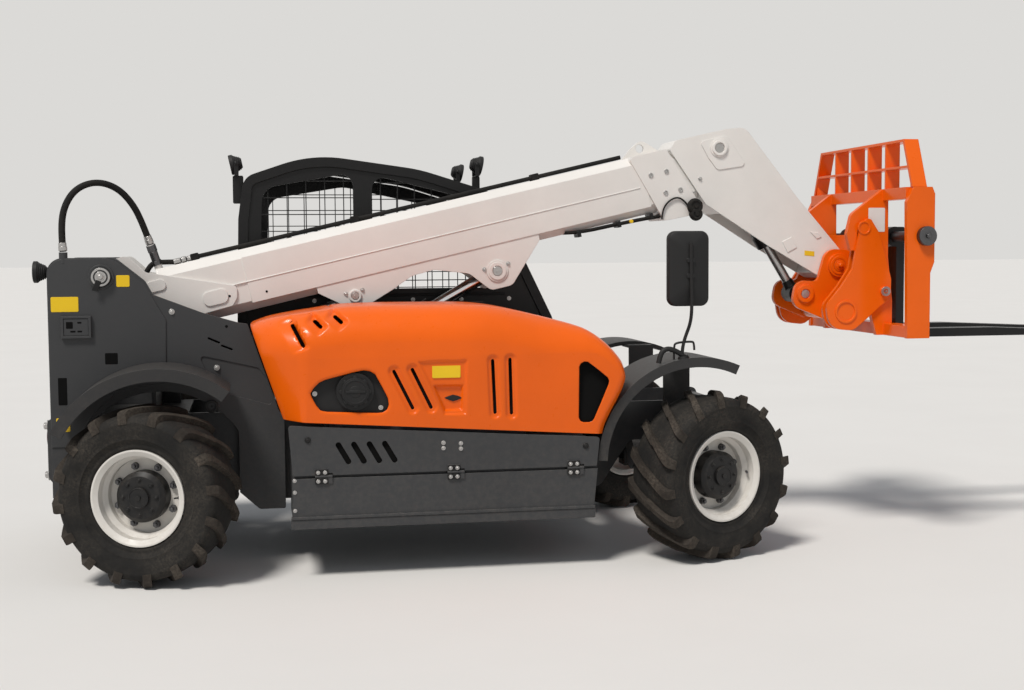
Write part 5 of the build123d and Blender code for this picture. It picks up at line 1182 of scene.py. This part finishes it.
def mirror_details():
    x, y = MIRROR_X, MIRROR_Y
    shell, base = drafts(2)
    loft(shell, [[at(p, y + depth, q) for p, q in rounded(x - half, x + half, low, high, radius, 8)]
                 for half, low, high, depth, radius in MIRROR_SHELL])
    for z in (1.4, 1.475):
        prism(shell, rounded(x - 0.02, x + 0.02, z - 0.01, z + 0.01, 0.006), y - 0.054, y - 0.04)
    piece("mirror_shell", shell, "plastic", "chassis", 0.001, "mirror")
    glass = bmesh.new()
    prism(glass, rounded(x - 0.092, x + 0.092, 1.263, 1.606, 0.032, 8), y + 0.0295, y + 0.0315)
    piece("mirror_glass", glass, "mirror", "chassis", 0.0008, "mirror")
    arm = path((1.196, y, 1.0), (1.198, y, 1.045), (1.212, y, 1.1), (1.23, y - 0.02, 1.16),
               (1.231, y - 0.046, 1.22), (1.229, y - 0.05, 1.3), (1.226, y - 0.05, 1.42), (x, y - 0.05, 1.56))
    tube("mirror_arm", arm, 0.0085, "plastic", "chassis", "mirror")
    bracket = path((1.156, y, 0.992), (1.155, y, 1.058), (1.166, y, 1.074), (1.245, y, 1.079),
                   (1.258, y, 1.072), (1.259, y, 1.036))
    tube("mirror_bracket", bracket, 0.0055, "plastic", "chassis")
    hump = path((1.078, y, 0.975), (1.088, y, 1.03), (1.125, y, 1.047), (1.165, y, 1.034), (1.2, y, 1.012),
                (1.216, y, 0.996))
    tube("mirror_foot", hump, 0.013, "plastic", "chassis")
    place = facing(at(1.205, y, 0.992), (-0.12, 0, 1))
    disc(base, place, 0.03, 0, 0.016, 32, 0.026)
    bolt(base, place @ Matrix.Translation((0.02, 0.012, 0.014)), 0.011)
    piece("mirror_base", base, "plastic", "chassis", 0.001)


# Work lamps: middle, which way they face, tilt in degrees
WORK_LAMPS = [((0.33, 0.114, 1.985), 1, 12), ((0.33, 0.828, 1.985), 1, 12), ((-0.93, 0.114, 1.985), -1, 12),
              ((-1.8513, -0.36, 1.44), -1, 0)]
# section through the bowl's wall: radius, distance along its axis
LAMP_BOWL = [(0.052, 0.014), (0.052, 0.031), (0.0465, 0.034), (0.0445, 0.027), (0.03, 0.02), (0.02, -0.02),
             (0.023, -0.0305), (0.029, -0.024), (0.044, 0.006)]


def lamp_details():
    """Bowl-shaped work lamps with cooling ribs and lenses on their brackets, and the rear lights."""
    lenses, bowls, brackets, rear, rims = drafts(5)
    for (x, y, z), ahead, tilt in WORK_LAMPS:
        place = facing(at(x, y, z), (ahead, 0, -sin(radians(tilt))))
        lathe(bowls, place, LAMP_BOWL, 44)
        disc(bowls, place, 0.0235, -0.03, -0.018, 32)
        for k in range(4):
            ring(bowls, place, 0.0345 + 0.0035 * k, 0.024, -0.021 + 0.0085 * k, -0.0185 + 0.0085 * k, 36)
        disc(lenses, place, 0.0448, 0.0255, 0.0285, 44, 0.044)
        for k in range(6):
            disc(lenses, beside(place, 0.024, 60 * k, 0.0285), 0.0095, 0, 0.002, 20, 0.007)
        if abs(x) > 1.5:  # the lamp on the tower's rear edge sits on a stud
            disc(brackets, facing(at(x, y, z), AHEAD), 0.014, 0.024, 0.0312, 24)
            continue
        for side in (-1, 1):
            arm, outline = y + side * 0.0565, rounded(x - 0.011, x + 0.011, z - 0.062, z + 0.012, 0.009)
            prism(brackets, outline, arm - 0.0025, arm + 0.0025)
            bolt(brackets, facing(at(x, y + side * 0.059, z), (0, side, 0)), 0.012)
        prism(brackets, rounded(x - 0.011, x + 0.011, z - 0.064, z - 0.059, 0.002), y - 0.059, y + 0.059)
        low, high, foot = (x - 0.02, x + 0.02, 1.835) if ahead > 0 else (-0.95, -0.895, 1.78)
        prism(brackets, rounded(low, high, foot, z - 0.06, 0.008), y - 0.01, y + 0.01)
    piece("lamp_bowls", bowls, "plastic", "chassis", 0.0006, "work_lamps")
    piece("lamp_brackets", brackets, "black", "chassis", 0.0008, "work_lamps")
    piece("lamp_lenses", lenses, "glass", "chassis", replaces="work_lamps")
    for y in (-0.225, 0.225):
        place = facing(at(-1.85, y, 0.63), REAR)
        disc(rear, place, 0.038, 0, 0.01, 40, 0.035)
        ring(rims, place, 0.045, 0.039, -0.001, 0.008)
    piece("rear_lamps", rear, "red", "chassis", 0.002)
    piece("rear_lamp_rims", rims, "plastic", "chassis", 0.001)


# Camera, floor and light; the angles are in degrees
CAMERA_PLACE = (-0.8577, -7.3421, 1.5346)
CAMERA_YAW = 10.4836
CAMERA_PITCH = 3.9249
CAMERA_ROLL = -0.3778
FOCAL_PIXELS = 1398.26
PHOTO_WIDTH = 1024
SENSOR = 36
FLOOR_HALF = 140


def camera():
    yaw, pitch, roll = radians(CAMERA_YAW), radians(CAMERA_PITCH), radians(CAMERA_ROLL)
    ahead = Vector((sin(yaw) * cos(pitch), cos(yaw) * cos(pitch), -sin(pitch)))
    level = Vector((cos(yaw), -sin(yaw), 0))
    right = level * cos(roll) + level.cross(ahead) * sin(roll)
    up = right.cross(ahead)
    data = bpy.data.cameras.new("view")
    data.sensor_width = SENSOR
    data.lens = FOCAL_PIXELS * SENSOR / PHOTO_WIDTH
    data.clip_end = 400
    thing = add("view", data)
    turn = Matrix((right, up, -ahead)).transposed().to_4x4()
    thing.matrix_world = Matrix.Translation(at(*CAMERA_PLACE)) @ turn
    bpy.context.scene.camera = thing


def floor():
    mesh = bpy.data.meshes.new("floor")
    corners = [(x * FLOOR_HALF, y * FLOOR_HALF, 0) for x, y in ((-1, -1), (1, -1), (1, 1), (-1, 1))]
    mesh.from_pydata(corners, [], [(0, 1, 2, 3)])
    thing = add("floor", mesh)
    s = Surface("pale_floor")
    broad = s.spread(s.noise(0.8, 5.0, 0.6), 0.3, 0.7)
    s.put(s.shader, {"Base Color": s.mix(broad, (0.74, 0.725, 0.70), (0.72, 0.705, 0.68)), "Roughness": 0.95})
    mesh.materials.append(s.material)


# Sun: heading of its light from the machine's rear right, height, strength, width in degrees
SUN_HEADING = 228
SUN_HEIGHT = 56
SUN_STRENGTH = 2.85
SUN_WIDTH = 14
SUN_COLOUR = (1.0, 0.965, 0.92)
SKY = (0.80, 0.86, 0.95)
SKY_STRENGTH = 0.36
BACKDROP = (0.71, 0.70, 0.68)


def light():
    """A soft sun and an even sky; the camera and reflections see the pale backdrop instead of the sky."""
    data = bpy.data.lights.new("sun", "SUN")
    data.energy = SUN_STRENGTH
    data.angle = radians(SUN_WIDTH)
    data.color = SUN_COLOUR
    heading, height = radians(SUN_HEADING), radians(SUN_HEIGHT)
    toward = Vector((cos(heading) * cos(height), sin(heading) * cos(height), sin(height)))
    add("sun", data).rotation_euler = toward.to_track_quat("Z", "Y").to_euler()
    world = bpy.data.worlds.new("sky")
    world.use_nodes = True
    nodes, links = world.node_tree.nodes, world.node_tree.links
    sky = nodes["Background"]
    pale = nodes.new("ShaderNodeBackground")
    for node, colour, strength in ((sky, SKY, SKY_STRENGTH), (pale, BACKDROP, 1.0)):
        node.inputs["Color"].default_value = (*colour, 1)
        node.inputs["Strength"].default_value = strength
    ray = nodes.new("ShaderNodeLightPath")
    seen = ray.outputs["Is Camera Ray"]
    for kind in ("Is Glossy Ray", "Is Transmission Ray"):
        either = nodes.new("ShaderNodeMath")
        either.operation = "MAXIMUM"
        links.new(seen, either.inputs[0])
        links.new(ray.outputs[kind], either.inputs[1])
        seen = either.outputs["Value"]
    choose = nodes.new("ShaderNodeMixShader")
    links.new(seen, choose.inputs["Fac"])
    links.new(sky.outputs["Background"], choose.inputs[1])
    links.new(pale.outputs["Background"], choose.inputs[2])
    links.new(choose.outputs["Shader"], nodes["World Output"].inputs["Surface"])
    bpy.context.scene.world = world
    bpy.context.scene.view_settings.view_transform = "Standard"


def details():
    tyres()
    wheel_details()
    hose()
    seat()
    boom_details()
    boom_lines()
    gooseneck_details()
    coupler_details()
    tower_details()
    hood_skin()
    hood_hinges()
    hood_details()
    box_details()
    mirror_details()
    lamp_details()
    cab_details()
    left_details()


finish_cad()
camera()
floor()
light()
details()
bpy.context.view_layer.update()
